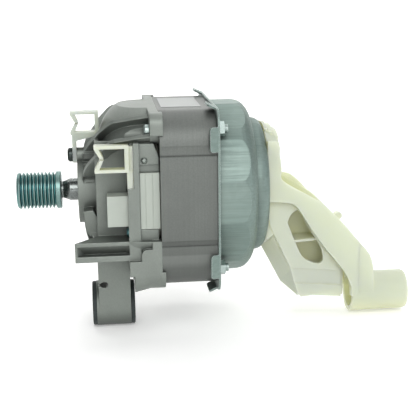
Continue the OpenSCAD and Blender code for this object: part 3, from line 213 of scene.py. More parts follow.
class Finish:
    """A material under construction: its shader, its coordinates and its colour so far."""

    def __init__(self, name, colour, roughness, metallic=0.0):
        self.material = bpy.data.materials.new(name)
        self.material.use_nodes = True
        self.tree = self.material.node_tree
        self.tree.nodes.clear()
        self.shader = self.add("ShaderNodeBsdfPrincipled",
                               {"Roughness": roughness, "Metallic": metallic})
        self.add("ShaderNodeOutputMaterial", {"Surface": self.shader.outputs["BSDF"]})
        self.place = self.add("ShaderNodeTexCoord").outputs["Object"]
        self.colour = rgba(colour)

    def add(self, kind, inputs=None, **settings):
        return add_node(self.tree, kind, inputs, **settings)

    def feed(self, socket, source):
        self.tree.links.new(source, self.shader.inputs[socket])

    def mottle(self, size_mm, detail, stretch=(1, 1, 1)):
        """Cloudy grey pattern whose blotches are about size_mm across."""
        place = self.add("ShaderNodeMapping", {"Vector": self.place, "Scale": stretch}).outputs[0]
        return self.add("ShaderNodeTexNoise", {
            "Vector": place, "Scale": 1000 / size_mm, "Detail": detail,
            "Roughness": 0.55}).outputs["Fac"]

    def along_mm(self, axis):
        """Place along an axis in millimetres."""
        parts = self.add("ShaderNodeSeparateXYZ", {"Vector": self.place}).outputs
        return self.add("ShaderNodeMath", {0: parts[axis], 1: 1000.0}, operation="MULTIPLY").outputs[0]

    def radius_mm(self):
        """Distance from the shaft axis in millimetres."""
        centred = self.add("ShaderNodeVectorMath", {0: self.place, 1: (0, 0, SHAFT_Z)},
                           operation="SUBTRACT").outputs["Vector"]
        flat = self.add("ShaderNodeVectorMath", {0: centred, 1: (0, 1, 1)},
                        operation="MULTIPLY").outputs["Vector"]
        length = self.add("ShaderNodeVectorMath", {0: flat}, operation="LENGTH").outputs["Value"]
        return self.add("ShaderNodeMath", {0: length, 1: 1000.0}, operation="MULTIPLY").outputs[0]

    def edges(self, radius_mm):
        """1 along outer and inner edges, 0 on open faces."""
        rounded = self.add("ShaderNodeBevel", {"Radius": radius_mm * MM}, samples=4).outputs[0]
        face = self.add("ShaderNodeNewGeometry").outputs["Normal"]
        cosine = self.add("ShaderNodeVectorMath", {0: rounded, 1: face}, operation="DOT_PRODUCT")
        return self.add("ShaderNodeMapRange", {
            "Value": cosine.outputs["Value"], "From Min": OPEN_FACE,
            "From Max": SHARP_EDGE}).outputs["Result"]

    def lay(self, colour, strength, pattern, low=0.0, high=1.0, within=1.0):
        """Lays a colour over the one so far: none where the pattern is low, full strength where high."""
        share = self.add("ShaderNodeMapRange", {
            "Value": pattern, "From Min": low, "From Max": high, "To Max": strength}).outputs["Result"]
        share = self.add("ShaderNodeMath", {0: share, 1: within}, operation="MULTIPLY").outputs[0]
        self.colour = self.add("ShaderNodeMix", {0: share, 6: self.colour, 7: rgba(colour)},
                               data_type="RGBA").outputs[2]

    def paint_hollow_shading(self, colour, strength, reach_mm, open_air, hollow):
        """Paints light and shade into corners and hollows as a colour, by the share of free air within
        reach: none at open_air, full strength at hollow."""
        free = self.add("ShaderNodeAmbientOcclusion", {"Distance": reach_mm * MM}, samples=6)
        self.lay(colour, strength, free.outputs["AO"], open_air, hollow)

    def roughen(self, *parts):
        """Makes the roughness the sum of its parts: a part goes from smooth to rough as its pattern
        goes from low to high."""
        total = 0.0
        for pattern, low, high, smooth, rough in parts:
            part = self.add("ShaderNodeMapRange", {
                "Value": pattern, "From Min": low, "From Max": high, "To Min": smooth,
                "To Max": rough}).outputs["Result"]
            total = self.add("ShaderNodeMath", {0: total, 1: part}, operation="ADD").outputs[0]
        self.feed("Roughness", total)

    def finished(self, relief, depth_mm, edge_mm):
        """Feeds in the colour, and relief of the given depth over edges rounded by edge_mm."""
        rounded = self.add("ShaderNodeBevel", {"Radius": edge_mm * MM}, samples=6).outputs[0]
        self.feed("Normal", self.add("ShaderNodeBump", {
            "Height": relief, "Distance": depth_mm * MM, "Normal": rounded}).outputs[0])
        self.feed("Base Color", self.colour)
        return self.material


def cast_aluminium(colour):
    # Pressure die cast aluminium, blasted: dull grey skin with flow clouds a few centimetres wide, a
    # grain of about 0.7 mm, painted shade darkening its corners and hollows, and edges that handling
    # has rubbed a little brighter, with a painted highlight along them.
    f = Finish("die_cast_aluminium", shade(colour, 0.86), 0.5, 0.72)
    clouds = f.mottle(26, 4)
    grain = f.mottle(0.7, 2)
    f.lay(shade(colour, 1.1), 1.0, clouds, 0.3, 0.7)
    f.lay(shade(colour, 0.55), 0.16, grain, 0.35, 0.65)
    # Painted shade: darker grey in corners and hollows
    f.paint_hollow_shading(shade(colour, 0.4), 0.75, reach_mm=20, open_air=0.85, hollow=0.2)
    # Edges rubbed brighter, together with a painted highlight along them
    f.lay(shade(colour, 1.55), 1.0, f.mottle(5, 3), 0.35, 0.7, within=f.edges(0.7))
    f.roughen((clouds, 0.3, 0.7, 0.44, 0.58))
    return f.finished(grain, 0.05, 0.9)


def lamination_edges(colour):
    # Edges of punched electrical steel sheets, 0.5 mm thick, drawn 0.8 mm apart so that they just show.
    # Each sheet has its own shade, burrs give a 0.9 mm speckle, oxide leaves darker clouds, painted
    # shade darkens the foot, a painted highlight of the floor's light brightens the lower bend, and
    # bands along the side grooves are darker.
    f = Finish("stacked_steel_sheet_edges", colour, 0.5, 0.5)
    count = f.add("ShaderNodeMath", {0: f.along_mm("X"), 1: 1.0 / SHEET_PITCH},
                  operation="MULTIPLY").outputs[0]
    number = f.add("ShaderNodeMath", {0: count}, operation="FLOOR").outputs[0]
    sheet = f.add("ShaderNodeTexWhiteNoise", {"W": number}, noise_dimensions="1D").outputs["Value"]
    gap = f.add("ShaderNodeMath", {0: count, 1: 0.5}, operation="PINGPONG").outputs[0]
    speckle = f.mottle(0.9, 2)
    height = f.along_mm("Z")
    f.lay(shade(colour, 0.82), 0.4, sheet)
    f.lay(shade(colour, 0.8), 0.5, f.mottle(19, 4), 0.35, 0.7)
    f.lay(shade(colour, 0.6), 0.3, speckle, 0.35, 0.7)
    # Painted shade: darker towards the foot
    f.lay(shade(colour, 0.55), 0.6, height, *PAINTED_SHADE_HEIGHTS)
    # Darker bands along the side grooves
    for middle, reach, strength in GROOVE_DARK_BANDS:
        offset = f.add("ShaderNodeMath", {0: height, 1: middle}, operation="SUBTRACT").outputs[0]
        offset = f.add("ShaderNodeMath", {0: offset}, operation="ABSOLUTE").outputs[0]
        f.lay(shade(colour, 0.3), strength, offset, reach + GROOVE_BAND_FADE, reach)
    # Painted highlight: the floor's light on the lower bend
    bend_light_lower_edge = f.add("ShaderNodeMapRange", {
        "Value": height, "From Min": PAINTED_BEND_LIGHT_FOOT[0], "From Max": PAINTED_BEND_LIGHT_FOOT[1]}).outputs["Result"]
    f.lay(shade(colour, 1.5), 0.3, height, *PAINTED_BEND_LIGHT_TOP, within=bend_light_lower_edge)
    f.lay(shade(colour, 0.2), 0.14, gap, 0.16, 0.0)
    return f.finished(speckle, 0.03, 0.25)


def galvanised_sheet(colour):
    # Deep drawn galvanised steel: blue-green grey zinc, drawing lines along the shaft, faint spangle of
    # 4.5 mm, soft broad reflections, painted shade where the sheet folds inwards, and painted highlights
    # along its edges.
    f = Finish("galvanised_drawn_sheet", colour, 0.4, 0.92)
    crystals = f.add("ShaderNodeTexVoronoi", {"Vector": f.place, "Scale": 1000 / SPANGLE})
    grey = f.add("ShaderNodeSeparateColor", {"Color": crystals.outputs["Color"]}).outputs["Red"]
    lines = f.mottle(1.1, 3, (0.04, 1, 1))
    clouds = f.mottle(22, 4)
    f.lay(shade(colour, 1.22), 0.3, grey)
    f.lay((colour[0] * 0.8, colour[1] * 0.87, colour[2] * 0.88), 0.45, clouds, 0.35, 0.7)
    f.lay(shade(colour, 0.6), 0.2, lines, 0.4, 0.7)
    # Painted shade where the sheet folds inwards
    f.paint_hollow_shading(shade(colour, 0.35), 0.7, reach_mm=14, open_air=0.95, hollow=0.45)
    # Painted highlight along the edges
    f.lay(linear("#dfe6e4"), 0.7, f.edges(0.5))
    f.roughen((lines, 0.3, 0.7, 0.42, 0.56), (clouds, 0.35, 0.7, 0.0, 0.045))
    return f.finished(lines, 0.04, 0.7)


def natural_nylon(name, colour, painted_hollow_colour, edge_mm=0.8):
    # Unfilled injection moulded nylon: milky and slightly see-through. Hollows are painted greener and
    # yellower than open faces, painted light and shade that stand in for light through the nylon. Skin
    # is satin, with faint flow marks and a grain of 0.9 mm.
    f = Finish(name, colour, 0.42)
    grain = f.mottle(0.9, 2)
    f.lay(shade(colour, 0.93), 0.25, f.mottle(30, 3), 0.3, 0.7)
    # Painted light and shade: a colour laid into the hollows
    f.paint_hollow_shading(painted_hollow_colour, 0.8, reach_mm=22, open_air=0.9, hollow=0.25)
    f.roughen((grain, 0.3, 0.7, 0.36, 0.5))
    f.shader.inputs["Subsurface Weight"].default_value = 0.9
    f.shader.inputs["Subsurface Radius"].default_value = (1.0, 0.97, 0.75)
    f.shader.inputs["Subsurface Scale"].default_value = 10 * MM
    f.shader.inputs["IOR"].default_value = 1.53
    return f.finished(grain, 0.012, edge_mm)


def moulded_plastic(name, colour, roughness):
    # Pigmented moulded plastic with a fine spark-eroded grain, and a little grime in patches.
    f = Finish(name, colour, roughness)
    grain = f.mottle(0.6, 2)
    f.lay(shade(colour, 0.78), 0.22, f.mottle(9, 4), 0.45, 0.8)
    f.roughen((grain, 0.3, 0.7, roughness - 0.05, roughness + 0.08))
    f.shader.inputs["IOR"].default_value = 1.5
    return f.finished(grain, 0.015, 0.35)


def moulded_rubber(colour):
    # Black vulcanised rubber: matt, with patches of a dusty green-grey bloom.
    f = Finish("moulded_rubber", colour, 0.7)
    f.lay([c * 1.9 + 0.01 for c in colour], 0.5, f.mottle(4, 4), 0.4, 0.75)
    return f.finished(f.mottle(0.5, 2), 0.03, 0.4)


def plain_metal(name, colour, roughness, metallic=1.0, mark_mm=2.0, stretch=(1, 1, 1),
                relief_mm=0.01):
    # Machined, ground or rolled bare metal: fine marks, longer or shorter in the direction of the work,
    # that lighten, darken and dull it in turn. Each call says which metal it is.
    f = Finish(name, shade(colour, 0.82), roughness, metallic)
    marks = f.mottle(mark_mm, 3, stretch)
    f.lay(shade(colour, 1.12), 1.0, marks, 0.3, 0.7)
    f.roughen((marks, 0.3, 0.7, roughness - 0.06, roughness + 0.1))
    return f.finished(marks, relief_mm, 0.3)


def passivated_pulley(colour, crest):
    # Zinc plated and passivated steel: teal with green and blue drifts in the belt grooves. The belt has
    # polished the crests, and handling both end faces, back to grey.
    f = Finish("passivated_pulley_steel", colour, 0.3, 0.9)
    f.lay(linear("#4a8380"), 1.0, f.mottle(5, 3, (0.5, 1, 1)), 0.35, 0.65)
    f.lay(linear("#486f82"), 0.6, f.mottle(3.2, 3), 0.5, 0.75)
    along = f.along_mm("X")
    bright = 0.0
    for place, low, high, strength in (
            (f.radius_mm(), *CREST_RADII, 1.0), (along, *FLANGE_PLACES, 1.0),
            (along, *FACE_PLACES, 0.75)):
        share = f.add("ShaderNodeMapRange", {
            "Value": place, "From Min": low, "From Max": high, "To Max": strength}).outputs["Result"]
        bright = f.add("ShaderNodeMath", {0: bright, 1: share}, operation="MAXIMUM").outputs[0]
    f.lay(crest, 1.0, bright)
    f.roughen((bright, 0.0, 1.0, 0.32, 0.38))
    return f.finished(f.mottle(0.8, 2, (6, 1, 1)), 0.01, 0.15)


def wound_wire(colour):
    # Enamelled copper wire of 0.6 mm, laid round the bore in bundles and varnished: glossy turns with
    # dark gaps between them.
    f = Finish("enamelled_copper_wire", colour, 0.32, 0.75)
    turns = f.add("ShaderNodeMath", {0: f.radius_mm(), 1: 1.0 / WIRE}, operation="MULTIPLY").outputs[0]
    wire = f.add("ShaderNodeMath", {0: turns, 1: 0.5}, operation="PINGPONG").outputs[0]
    f.lay(shade(colour, 0.7), 1.0, f.mottle(6, 3), 0.35, 0.7)
    f.lay(linear("#3a1c0c"), 1.0, wire, 0.2, 0.0)
    relief = f.add("ShaderNodeMapRange", {
        "Value": wire, "From Max": 0.2, "To Min": -1.0, "To Max": 0.0}).outputs["Result"]
    return f.finished(relief, 0.15, 0.3)


def label_foil(colour):
    # Plain polyester label, left bare: satin white film with a slight greyness where it has aged.
    f = Finish("plain_label_film", colour, 0.42)
    f.lay(shade(colour, 0.86), 0.3, f.mottle(8, 4), 0.4, 0.75)
    f.shader.inputs["Coat Weight"].default_value = 0.12
    f.shader.inputs["Coat Roughness"].default_value = 0.2
    return f.finished(f.mottle(12, 2), 0.06, 0.1)


def stage_paper(colour):
    # Matt white acrylic of a shooting table, lit a little from behind so that it photographs white.
    f = Finish("lit_table_acrylic", colour, 0.9)
    f.shader.inputs["Emission Color"].default_value = (1, 1, 1, 1)
    f.shader.inputs["Emission Strength"].default_value = 0.22
    f.lay(shade(colour, 0.985), 1.0, f.mottle(60, 2), 0.3, 0.7)
    f.feed("Base Color", f.colour)
    return f.material


# ---------------------------------------------------------------- sizes and colours a user can change


def colour_prop(name, text, default):
    return bpy.props.FloatVectorProperty(name=name, description=text, default=linear(default),
                                         size=3, min=0.0, max=1.0, subtype="COLOR")


def length_prop(name, text, default, low, high):
    return bpy.props.FloatProperty(name=name, description=text, default=default, min=low, max=high,
                                   unit="LENGTH", subtype="DISTANCE")


class MotorColours(bpy.types.PropertyGroup):
    casting: colour_prop("Casting", "Skin of the die cast shield", "#828882")
    laminations: colour_prop("Laminations", "Edges of the stacked sheets", "#6e726e")
    galvanised: colour_prop("Galvanised sheet", "Zinc on the rear cover", "#808f89")
    nylon: colour_prop("Nylon", "Open faces of the rear arm", "#bcc2b0")
    # Painted light: the colour laid into the arm's hollows where light would come through
    nylon_painted_hollows: colour_prop("Nylon hollows", "Nylon where light comes through it", "#cdcfac")
    top_clip: colour_prop("Top clip", "Nylon of the top cable clip", "#b0b8ae")
    side_clip: colour_prop("Side clip", "Nylon of the side cable clip", "#c0c6b5")
    connector: colour_prop("Connector", "White terminal housing", "#aab1a8")
    pulley: colour_prop("Pulley", "Plating in the belt grooves", "#46787a")
    crest: colour_prop("Pulley crests", "Metal that the belt has polished", "#76908c")
    rubber: colour_prop("Rubber", "Front bush", "#232b2a")
    label: colour_prop("Label", "Bare rating label", "#828784")
    paper: colour_prop("Paper", "Floor and backdrop", "#fbfbfa")


class MotorSizes(bpy.types.PropertyGroup):
    nut_flats: length_prop("Nut flats", "Width of a nut across its flats", 8 * MM, 0.005, 0.012)
    nut_height: length_prop("Nut height", "Height of a nut", 4 * MM, 0.002, 0.008)
    thread_pitch: length_prop("Thread pitch", "Pitch of the bolt thread", 0.8 * MM, 0.0003, 0.002)
    bolt_diameter: length_prop("Bolt diameter", "Diameter over the thread", 5 * MM, 0.003, 0.008)
    shelf_web: length_prop("Shelf web", "Thickness of the web at the shelf's end", 1.2 * MM,
                           0.0005, 0.003)
    backdrop_height: length_prop("Backdrop height", "Height of the paper backdrop", 1.6, 0.5, 4.0)


# ---------------------------------------------------------------- geometry nodes


def start_tree(name, *sizes):
    """Starts a geometry tree: one input for the carrier's points and one for each size."""
    tree = bpy.data.node_groups.new(name, "GeometryNodeTree")
    tree.interface.new_socket("Geometry", in_out="INPUT", socket_type="NodeSocketGeometry")
    for size in sizes:
        tree.interface.new_socket(size, in_out="INPUT", socket_type="NodeSocketFloat")
    tree.interface.new_socket("Geometry", in_out="OUTPUT", socket_type="NodeSocketGeometry")
    return tree, add_node(tree, "NodeGroupInput").outputs


def end_tree(tree, points, shape, material):
    """Turns the shape from Z to X, sets it on each point as real mesh and gives it its material."""
    turned = add_node(tree, "GeometryNodeTransform", {
        "Geometry": shape, "Rotation": (0, math.radians(90), 0)}).outputs["Geometry"]
    placed = add_node(tree, "GeometryNodeInstanceOnPoints", {
        "Points": points, "Instance": turned}).outputs["Instances"]
    solid = add_node(tree, "GeometryNodeRealizeInstances", {"Geometry": placed}).outputs["Geometry"]
    done = add_node(tree, "GeometryNodeSetMaterial", {
        "Geometry": solid, "Material": material}).outputs["Geometry"]
    add_node(tree, "NodeGroupOutput", {"Geometry": done})


def thread_tree(material):
    """A ridge that winds along X at each point of the carrier."""
    tree, given = start_tree("bolt_thread", "Pitch", "Radius", "Length", "Ridge")
    turns = add_node(tree, "ShaderNodeMath", {0: given["Length"], 1: given["Pitch"]},
                     operation="DIVIDE").outputs[0]
    helix = add_node(tree, "GeometryNodeCurveSpiral", {
        "Resolution": 20, "Rotations": turns, "Start Radius": given["Radius"],
        "End Radius": given["Radius"], "Height": given["Length"]}).outputs["Curve"]
    ridge = add_node(tree, "GeometryNodeCurvePrimitiveCircle", {
        "Resolution": 3, "Radius": given["Ridge"]}).outputs["Curve"]
    tube = add_node(tree, "GeometryNodeCurveToMesh", {
        "Curve": helix, "Profile Curve": ridge, "Fill Caps": True}).outputs["Mesh"]
    end_tree(tree, given["Geometry"], tube, material)
    return tree


def nut_tree(material):
    """A chamfered hexagon nut on a washer, facing along X, at each point of the carrier."""
    names = ("Corner Radius", "Height", "Hole Radius", "Washer Radius", "Washer Height")
    tree, given = start_tree("hexagon_nut", *names)

    # Sizes that follow from the inputs
    size = {name: given[name] for name in names}
    for name, operation, first, second in (
            ("Cone Top", "MULTIPLY", "Corner Radius", CONE_TOP),
            ("Cone Foot", "MULTIPLY", "Corner Radius", CONE_FOOT),
            ("Cone Height", "MULTIPLY", "Corner Radius", CONE_HEIGHT),
            ("Half Height", "MULTIPLY", "Height", 0.5),
            ("Cone Place", "SUBTRACT", "Half Height", "Cone Height"),
            ("Drill Length", "MULTIPLY", "Height", 3.0),
            ("Height Above Washer", "SUBTRACT", "Height", "Washer Height"),
            ("Washer Place", "MULTIPLY", "Height Above Washer", -0.5)):
        size[name] = add_node(tree, "ShaderNodeMath", {0: size[first], 1: size.get(second, second)},
                              operation=operation).outputs[0]

    body = add_node(tree, "GeometryNodeMeshCylinder", {
        "Vertices": 6, "Radius": size["Corner Radius"], "Depth": size["Height"]}).outputs["Mesh"]
    cone = add_node(tree, "GeometryNodeMeshCone", {
        "Vertices": 32, "Radius Top": size["Cone Top"], "Radius Bottom": size["Cone Foot"],
        "Depth": size["Cone Height"]}).outputs["Mesh"]
    washer = add_node(tree, "GeometryNodeMeshCylinder", {
        "Vertices": 32, "Radius": size["Washer Radius"],
        "Depth": size["Washer Height"]}).outputs["Mesh"]
    hole = add_node(tree, "GeometryNodeMeshCylinder", {
        "Vertices": 24, "Radius": size["Hole Radius"], "Depth": size["Drill Length"]}).outputs["Mesh"]

    moved = []
    for shape, place in ((cone, "Cone Place"), (washer, "Washer Place")):
        shift = add_node(tree, "ShaderNodeCombineXYZ", {"Z": size[place]}).outputs[0]
        moved.append(add_node(tree, "GeometryNodeTransform", {
            "Geometry": shape, "Translation": shift}).outputs["Geometry"])
    nut = body
    for operation, tool in zip(("INTERSECT", "UNION"), moved):
        joined = add_node(tree, "GeometryNodeMeshBoolean", operation=operation)
        for part in (nut, tool):
            tree.links.new(part, joined.inputs["Mesh 2"])
        nut = joined.outputs["Mesh"]
    bored = add_node(tree, "GeometryNodeMeshBoolean", {"Mesh 1": nut, "Mesh 2": hole},
                     operation="DIFFERENCE").outputs["Mesh"]
    end_tree(tree, given["Geometry"], bored, material)
    return tree


def grow(name, points, tree, sizes):
    """Runs a tree on a few points and keeps the result as a plain mesh, without its modifier."""
    mesh = bpy.data.meshes.new(name + "_points")
    mesh.from_pydata(points, [], [])
    carrier = new_piece(name + "_carrier", mesh)
    modifier = carrier.modifiers.new("grow", "NODES")
    modifier.node_group = tree
    for item in tree.interface.items_tree:
        if item.in_out == "INPUT" and item.name in sizes:
            modifier[item.identifier] = sizes[item.name]
    depsgraph = bpy.context.evaluated_depsgraph_get()
    grown = bpy.data.meshes.new_from_object(carrier.evaluated_get(depsgraph))
    grown.name = name
    bpy.data.objects.remove(carrier)
    return new_piece(name, grown)


def bolt_points(x):
    """The four places of the through bolts, at one place along the shaft."""
    half = BOLT_HIGH.y - BOLT_HEAD * MM
    return [(x, sy * half, SHAFT_Z + sz * half) for sy in (-1, 1) for sz in (-1, 1)]


# ---------------------------------------------------------------- operators


class MotorStep:
    """What every operator here shares."""
    bl_options = {"REGISTER", "UNDO"}


class MOTOR_OT_casting(MotorStep, bpy.types.Operator):
    """Finish the die cast shield with its bay, legs and pivot arm, and close the end of its shelf"""
    bl_idname = "motor.casting"
    bl_label = "Die cast shield"

    def execute(self, context):
        skin = cast_aluminium(context.scene.motor_colours.casting)
        paint(skin, "front_shield")
        thickness = context.scene.motor_sizes.shelf_web / MM
        shape = bmesh.new()
        points = [shape.verts.new(((SHELF_CORNER[0] + SHELF_SLANT * depth + inset) * MM,
                                   (SHELF_CORNER[1] + depth) * MM, SHAFT_Z + height * MM))
                  for inset in (WEB_INSET, thickness) for depth, height in WEB_CORNERS]
        for side in WEB_SIDES:
            shape.faces.new([points[i] for i in side])
        web = new_piece("shelf_end_web", close_mesh(shape, "shelf_end_web", skin))
        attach(web, "housing")
        return {"FINISHED"}


class MOTOR_OT_stator(MotorStep, bpy.types.Operator):
    """Finish the laminated stack, its windings, collars and thermal protector"""
    bl_idname = "motor.stator"
    bl_label = "Stator"

    def execute(self, context):
        paint(lamination_edges(context.scene.motor_colours.laminations), "stator_core")
        paint(wound_wire(linear("#b5703a")), "stator_winding")
        # Ivory thermoplastic insulation, satin
        paint(moulded_plastic("insulating_collar", linear("#e6e6dc"), 0.55),
              "front_winding_collar", "rear_winding_collar")
        # Dark phenolic case, a little glossier
        paint(moulded_plastic("protector_case", linear("#2c3036"), 0.45), "thermal_protector")
        return {"FINISHED"}


class MOTOR_OT_rear_cover(MotorStep, bpy.types.Operator):
    """Finish the pressed rear cover and the nuts behind it"""
    bl_idname = "motor.rear_cover"
    bl_label = "Rear cover"

    def execute(self, context):
        paint(galvanised_sheet(context.scene.motor_colours.galvanised), "rear_cover", "arm_nuts")
        return {"FINISHED"}


class MOTOR_OT_rear_arm(MotorStep, bpy.types.Operator):
    """Finish the moulded rear arm"""
    bl_idname = "motor.rear_arm"
    bl_label = "Rear arm"

    def execute(self, context):
        colours = context.scene.motor_colours
        paint(natural_nylon("natural_nylon", colours.nylon, colours.nylon_painted_hollows), "rear_arm")
        return {"FINISHED"}


class MOTOR_OT_clips(MotorStep, bpy.types.Operator):
    """Finish both cable clips"""
    bl_idname = "motor.clips"
    bl_label = "Cable clips"

    def execute(self, context):
        colours = context.scene.motor_colours
        # Each clip's second colour is painted shade laid into its hollows
        for name, colour, painted_hollow_colour, node in (
                ("clip_nylon_top", colours.top_clip, "#a4aa98", "cable_clip_top"),
                ("clip_nylon_side", colours.side_clip, "#a9ad8a", "cable_clip_side")):
            paint(natural_nylon(name, colour, linear(painted_hollow_colour), edge_mm=0.4), node)
        return {"FINISHED"}


class MOTOR_OT_terminals(MotorStep, bpy.types.Operator):
    """Finish the connector, its contacts, the label and the small screws"""
    bl_idname = "motor.terminals"
    bl_label = "Terminals and label"

    def execute(self, context):
        colours = context.scene.motor_colours
        # White polyester moulding, satin
        paint(moulded_plastic("connector_plastic", colours.connector, 0.5), "connector_block")
        # Tin on stamped brass, warm and bright
        paint(plain_metal("tinned_contacts", linear("#c9c2a4"), 0.3), "contact_pins")
        paint(label_foil(colours.label), "rating_label")
        # Blue-green passivated zinc, blackened steel, and plain zinc that has gone dull
        paint(plain_metal("passivated_earth_screw", linear("#5f8a8c"), 0.35), "earth_screw")
        paint(plain_metal("blackened_clip_screw", linear("#3a403e"), 0.3), "clip_screw")
        paint(plain_metal("plain_bay_screw", linear("#9ba39d"), 0.4), "bay_screw")
        return {"FINISHED"}


class MOTOR_OT_fasteners(MotorStep, bpy.types.Operator):
    """Build the nuts and threads of the through bolts and finish the bolts and the arm screws"""
    bl_idname = "motor.fasteners"
    bl_label = "Bolts and nuts"

    def execute(self, context):
        sizes = context.scene.motor_sizes
        # Bright zinc plating on cold formed steel: pale, slightly blue, soft gloss
        zinc = plain_metal("bright_zinc", linear("#aab7b3"), 0.34, mark_mm=1.5)
        paint(zinc, "through_bolts", "arm_screws")
        corner = sizes.nut_flats / 2 / math.cos(math.radians(30))
        nuts = grow("bolt_nuts", bolt_points(NUT_LOW.x + sizes.nut_height / 2), nut_tree(zinc), {
            "Corner Radius": corner, "Height": sizes.nut_height,
            "Hole Radius": sizes.bolt_diameter / 2, "Washer Radius": corner * WASHER_SHARE,
            "Washer Height": WASHER_HEIGHT * MM})
        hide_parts("flange_nuts")
        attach(nuts, "housing")
        start = NUT_LOW.x + sizes.nut_height - THREAD_START * MM
        threads = grow("bolt_threads", bolt_points(start), thread_tree(zinc), {
            "Pitch": sizes.thread_pitch, "Radius": sizes.bolt_diameter / 2,
            "Length": BOLT_HIGH.x - start - BARE_TIP * MM,
            "Ridge": sizes.thread_pitch * RIDGE_SHARE})
        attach(threads, "housing")
        return {"FINISHED"}


class MOTOR_OT_bush(MotorStep, bpy.types.Operator):
    """Finish the rubber bush and its steel sleeve"""
    bl_idname = "motor.bush"
    bl_label = "Front bush"

    def execute(self, context):
        paint(moulded_rubber(context.scene.motor_colours.rubber), "front_bush_rubber")
        # Turned steel, with tool marks round its axis
        paint(plain_metal("turned_sleeve_steel", linear("#a9afb0"), 0.34, stretch=(8, 1, 1)),
              "front_bush_sleeve")
        return {"FINISHED"}


class MOTOR_OT_rotor(MotorStep, bpy.types.Operator):
    """Finish the pulley, shaft, rotor and speed magnet"""
    bl_idname = "motor.rotor"
    bl_label = "Rotor and pulley"

    def execute(self, context):
        colours = context.scene.motor_colours
        paint(passivated_pulley(colours.pulley, colours.crest), "pulley")
        # Ground steel, nearly smooth, with faint marks round the shaft
        paint(plain_metal("ground_shaft_steel", linear("#767b79"), 0.26, mark_mm=2.5,
                          stretch=(3, 1, 1), relief_mm=0.002), "shaft")
        # Sheet stack turned to size, aluminium cast into it, and a dull sintered ring magnet
        paint(plain_metal("turned_rotor_core", linear("#6f7472"), 0.42, stretch=(6, 1, 1)),
              "rotor_core")
        paint(plain_metal("cast_cage_aluminium", linear("#bfc3c3"), 0.5, 0.9, 3.0), "squirrel_cage")
        paint(plain_metal("sintered_magnet", linear("#3c3f44"), 0.6, 0.5, 1.0), "speed_magnet")
        return {"FINISHED"}


class MOTOR_OT_bearings(MotorStep, bpy.types.Operator):
    """Finish the bearings, their washer and ring, and the speed coil"""
    bl_idname = "motor.bearings"
    bl_label = "Bearings"

    def execute(self, context):
        # Ground and hardened rings, lapped balls like mirrors, and a pressed brass cage
        paint(plain_metal("ground_bearing_steel", linear("#9da2a5"), 0.2, mark_mm=2.5,
                          stretch=(3, 1, 1), relief_mm=0.002),
              "front_bearing_outer", "front_bearing_inner", "rear_bearing_outer",
              "rear_bearing_inner")
        paint(plain_metal("polished_balls", linear("#d6dadd"), 0.08, mark_mm=3.0, relief_mm=0.001),
              "front_bearing_balls", "rear_bearing_balls")
        paint(plain_metal("pressed_brass_cage", linear("#a98f52"), 0.35), "front_bearing_cage",
              "rear_bearing_cage")
        paint(moulded_rubber(linear("#1d1f20")), "front_bearing_seals", "rear_bearing_seals")
        # Rolled and tempered strip, clean and grey
        paint(plain_metal("spring_steel", linear("#989ea0"), 0.3), "preload_washer", "retainer_ring")
        paint(wound_wire(linear("#c79b4a")), "speed_coil")
        return {"FINISHED"}


def camera_matrix():
    """Where the photograph's camera stands and how it is turned."""
    ahead = Vector((math.sin(CAMERA_YAW) * math.cos(CAMERA_PITCH),
                    math.cos(CAMERA_YAW) * math.cos(CAMERA_PITCH), -math.sin(CAMERA_PITCH)))
    right = Vector((math.cos(CAMERA_YAW), -math.sin(CAMERA_YAW), 0))
    down = ahead.cross(right)
    side = math.cos(CAMERA_ROLL) * right + math.sin(CAMERA_ROLL) * down
    up = math.sin(CAMERA_ROLL) * right - math.cos(CAMERA_ROLL) * down
    rows = [(side[i], up[i], -ahead[i], CAMERA_PLACE[i]) for i in range(3)]
    return Matrix((*rows, (0, 0, 0, 1)))


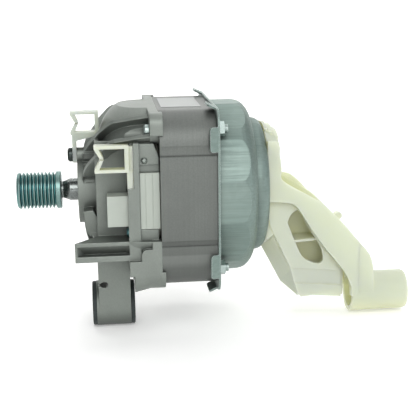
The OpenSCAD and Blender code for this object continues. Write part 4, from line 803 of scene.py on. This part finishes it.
class MOTOR_OT_stage(MotorStep, bpy.types.Operator):
    """Set up the paper, the soft lights and the camera"""
    bl_idname = "motor.stage"
    bl_label = "Studio"

    def execute(self, context):
        scene = context.scene
        self.lay_paper(scene)
        for light in LIGHTS:
            self.hang_light(scene, *light)
        self.fill_air(scene)
        scene.view_settings.view_transform = "Standard"
        camera = bpy.data.cameras.new("photo_camera")
        camera.sensor_width = SENSOR
        camera.lens = FOCAL_PX / FRAME_PX * SENSOR
        camera.clip_start, camera.clip_end = 0.01, 20
        eye = bpy.data.objects.new("photo_camera", camera)
        scene.collection.objects.link(eye)
        eye.matrix_world = camera_matrix()
        bpy.context.scene.camera = eye
        return {"FINISHED"}

    def lay_paper(self, scene):
        """A floor under the object that sweeps up into a backdrop behind it."""
        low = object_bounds()[0][2]
        rise = [(FLOOR_FRONT, 0.0), (FLOOR_BACK, 0.0)]
        rise += [(FLOOR_BACK + SWEEP * math.sin(math.radians(a)),
                  SWEEP - SWEEP * math.cos(math.radians(a))) for a in range(10, 91, 10)]
        rise.append((FLOOR_BACK + SWEEP, scene.motor_sizes.backdrop_height))
        shape = bmesh.new()
        rows = [[shape.verts.new((x, y, low + z)) for x in (-FLOOR_HALF, FLOOR_HALF)]
                for y, z in rise]
        for first, second in zip(rows, rows[1:]):
            shape.faces.new((first[0], first[1], second[1], second[0]))
        mesh = close_mesh(shape, "studio_paper", stage_paper(scene.motor_colours.paper))
        for polygon in mesh.polygons:
            polygon.use_smooth = True
        new_piece("studio_paper", mesh)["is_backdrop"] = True

    def hang_light(self, scene, name, place, target, size, watts, tint):
        """A rectangular soft light that faces its target."""
        light = bpy.data.lights.new(name, "AREA")
        light.shape = "RECTANGLE"
        light.size, light.size_y = size
        light.energy = watts
        light.color = linear(tint)
        lamp = bpy.data.objects.new(name, light)
        scene.collection.objects.link(lamp)
        lamp.location = place
        lamp.rotation_euler = (Vector(target) - Vector(place)).to_track_quat("-Z", "Y").to_euler()

    def fill_air(self, scene):
        """White light from all round, by the height that it comes from."""
        world = bpy.data.worlds.new("studio_air")
        scene.world = world
        world.use_nodes = True
        tree = world.node_tree
        tree.nodes.clear()
        ray = add_node(tree, "ShaderNodeTexCoord").outputs["Generated"]
        height = add_node(tree, "ShaderNodeSeparateXYZ", {"Vector": ray}).outputs["Z"]
        glow = add_node(tree, "ShaderNodeMapRange", {
            "Value": height, "From Min": AIR_HEIGHTS[0], "From Max": AIR_HEIGHTS[1],
            "To Min": AIR_STRENGTHS[0], "To Max": AIR_STRENGTHS[1]}).outputs[0]
        air = add_node(tree, "ShaderNodeBackground", {"Color": (1, 1, 1, 1), "Strength": glow})
        add_node(tree, "ShaderNodeOutputWorld", {"Surface": air.outputs[0]})


STEPS = (MOTOR_OT_stage, MOTOR_OT_casting, MOTOR_OT_stator, MOTOR_OT_rear_cover, MOTOR_OT_rear_arm,
         MOTOR_OT_clips, MOTOR_OT_terminals, MOTOR_OT_fasteners, MOTOR_OT_bush, MOTOR_OT_rotor,
         MOTOR_OT_bearings)


class MOTOR_PT_parts(bpy.types.Panel):
    bl_idname = "MOTOR_PT_parts"
    bl_label = "Washing machine motor"
    bl_space_type = "VIEW_3D"
    bl_region_type = "UI"
    bl_category = "Motor"

    def draw(self, context):
        for step in STEPS:
            self.layout.operator(step.bl_idname)
        for group in (context.scene.motor_colours, context.scene.motor_sizes):
            for name in group.bl_rna.properties.keys():
                if name not in ("rna_type", "name"):
                    self.layout.prop(group, name)


CLASSES = (MotorColours, MotorSizes, *STEPS, MOTOR_PT_parts)


def register():
    for item in CLASSES:
        bpy.utils.register_class(item)
    bpy.types.Scene.motor_colours = bpy.props.PointerProperty(type=MotorColours)
    bpy.types.Scene.motor_sizes = bpy.props.PointerProperty(type=MotorSizes)


def unregister():
    del bpy.types.Scene.motor_colours
    del bpy.types.Scene.motor_sizes
    for item in reversed(CLASSES):
        bpy.utils.unregister_class(item)


def main():
    register()
    for step in STEPS:
        area, name = step.bl_idname.split(".")
        getattr(getattr(bpy.ops, area), name)()


if __name__ == "__main__":
    main()
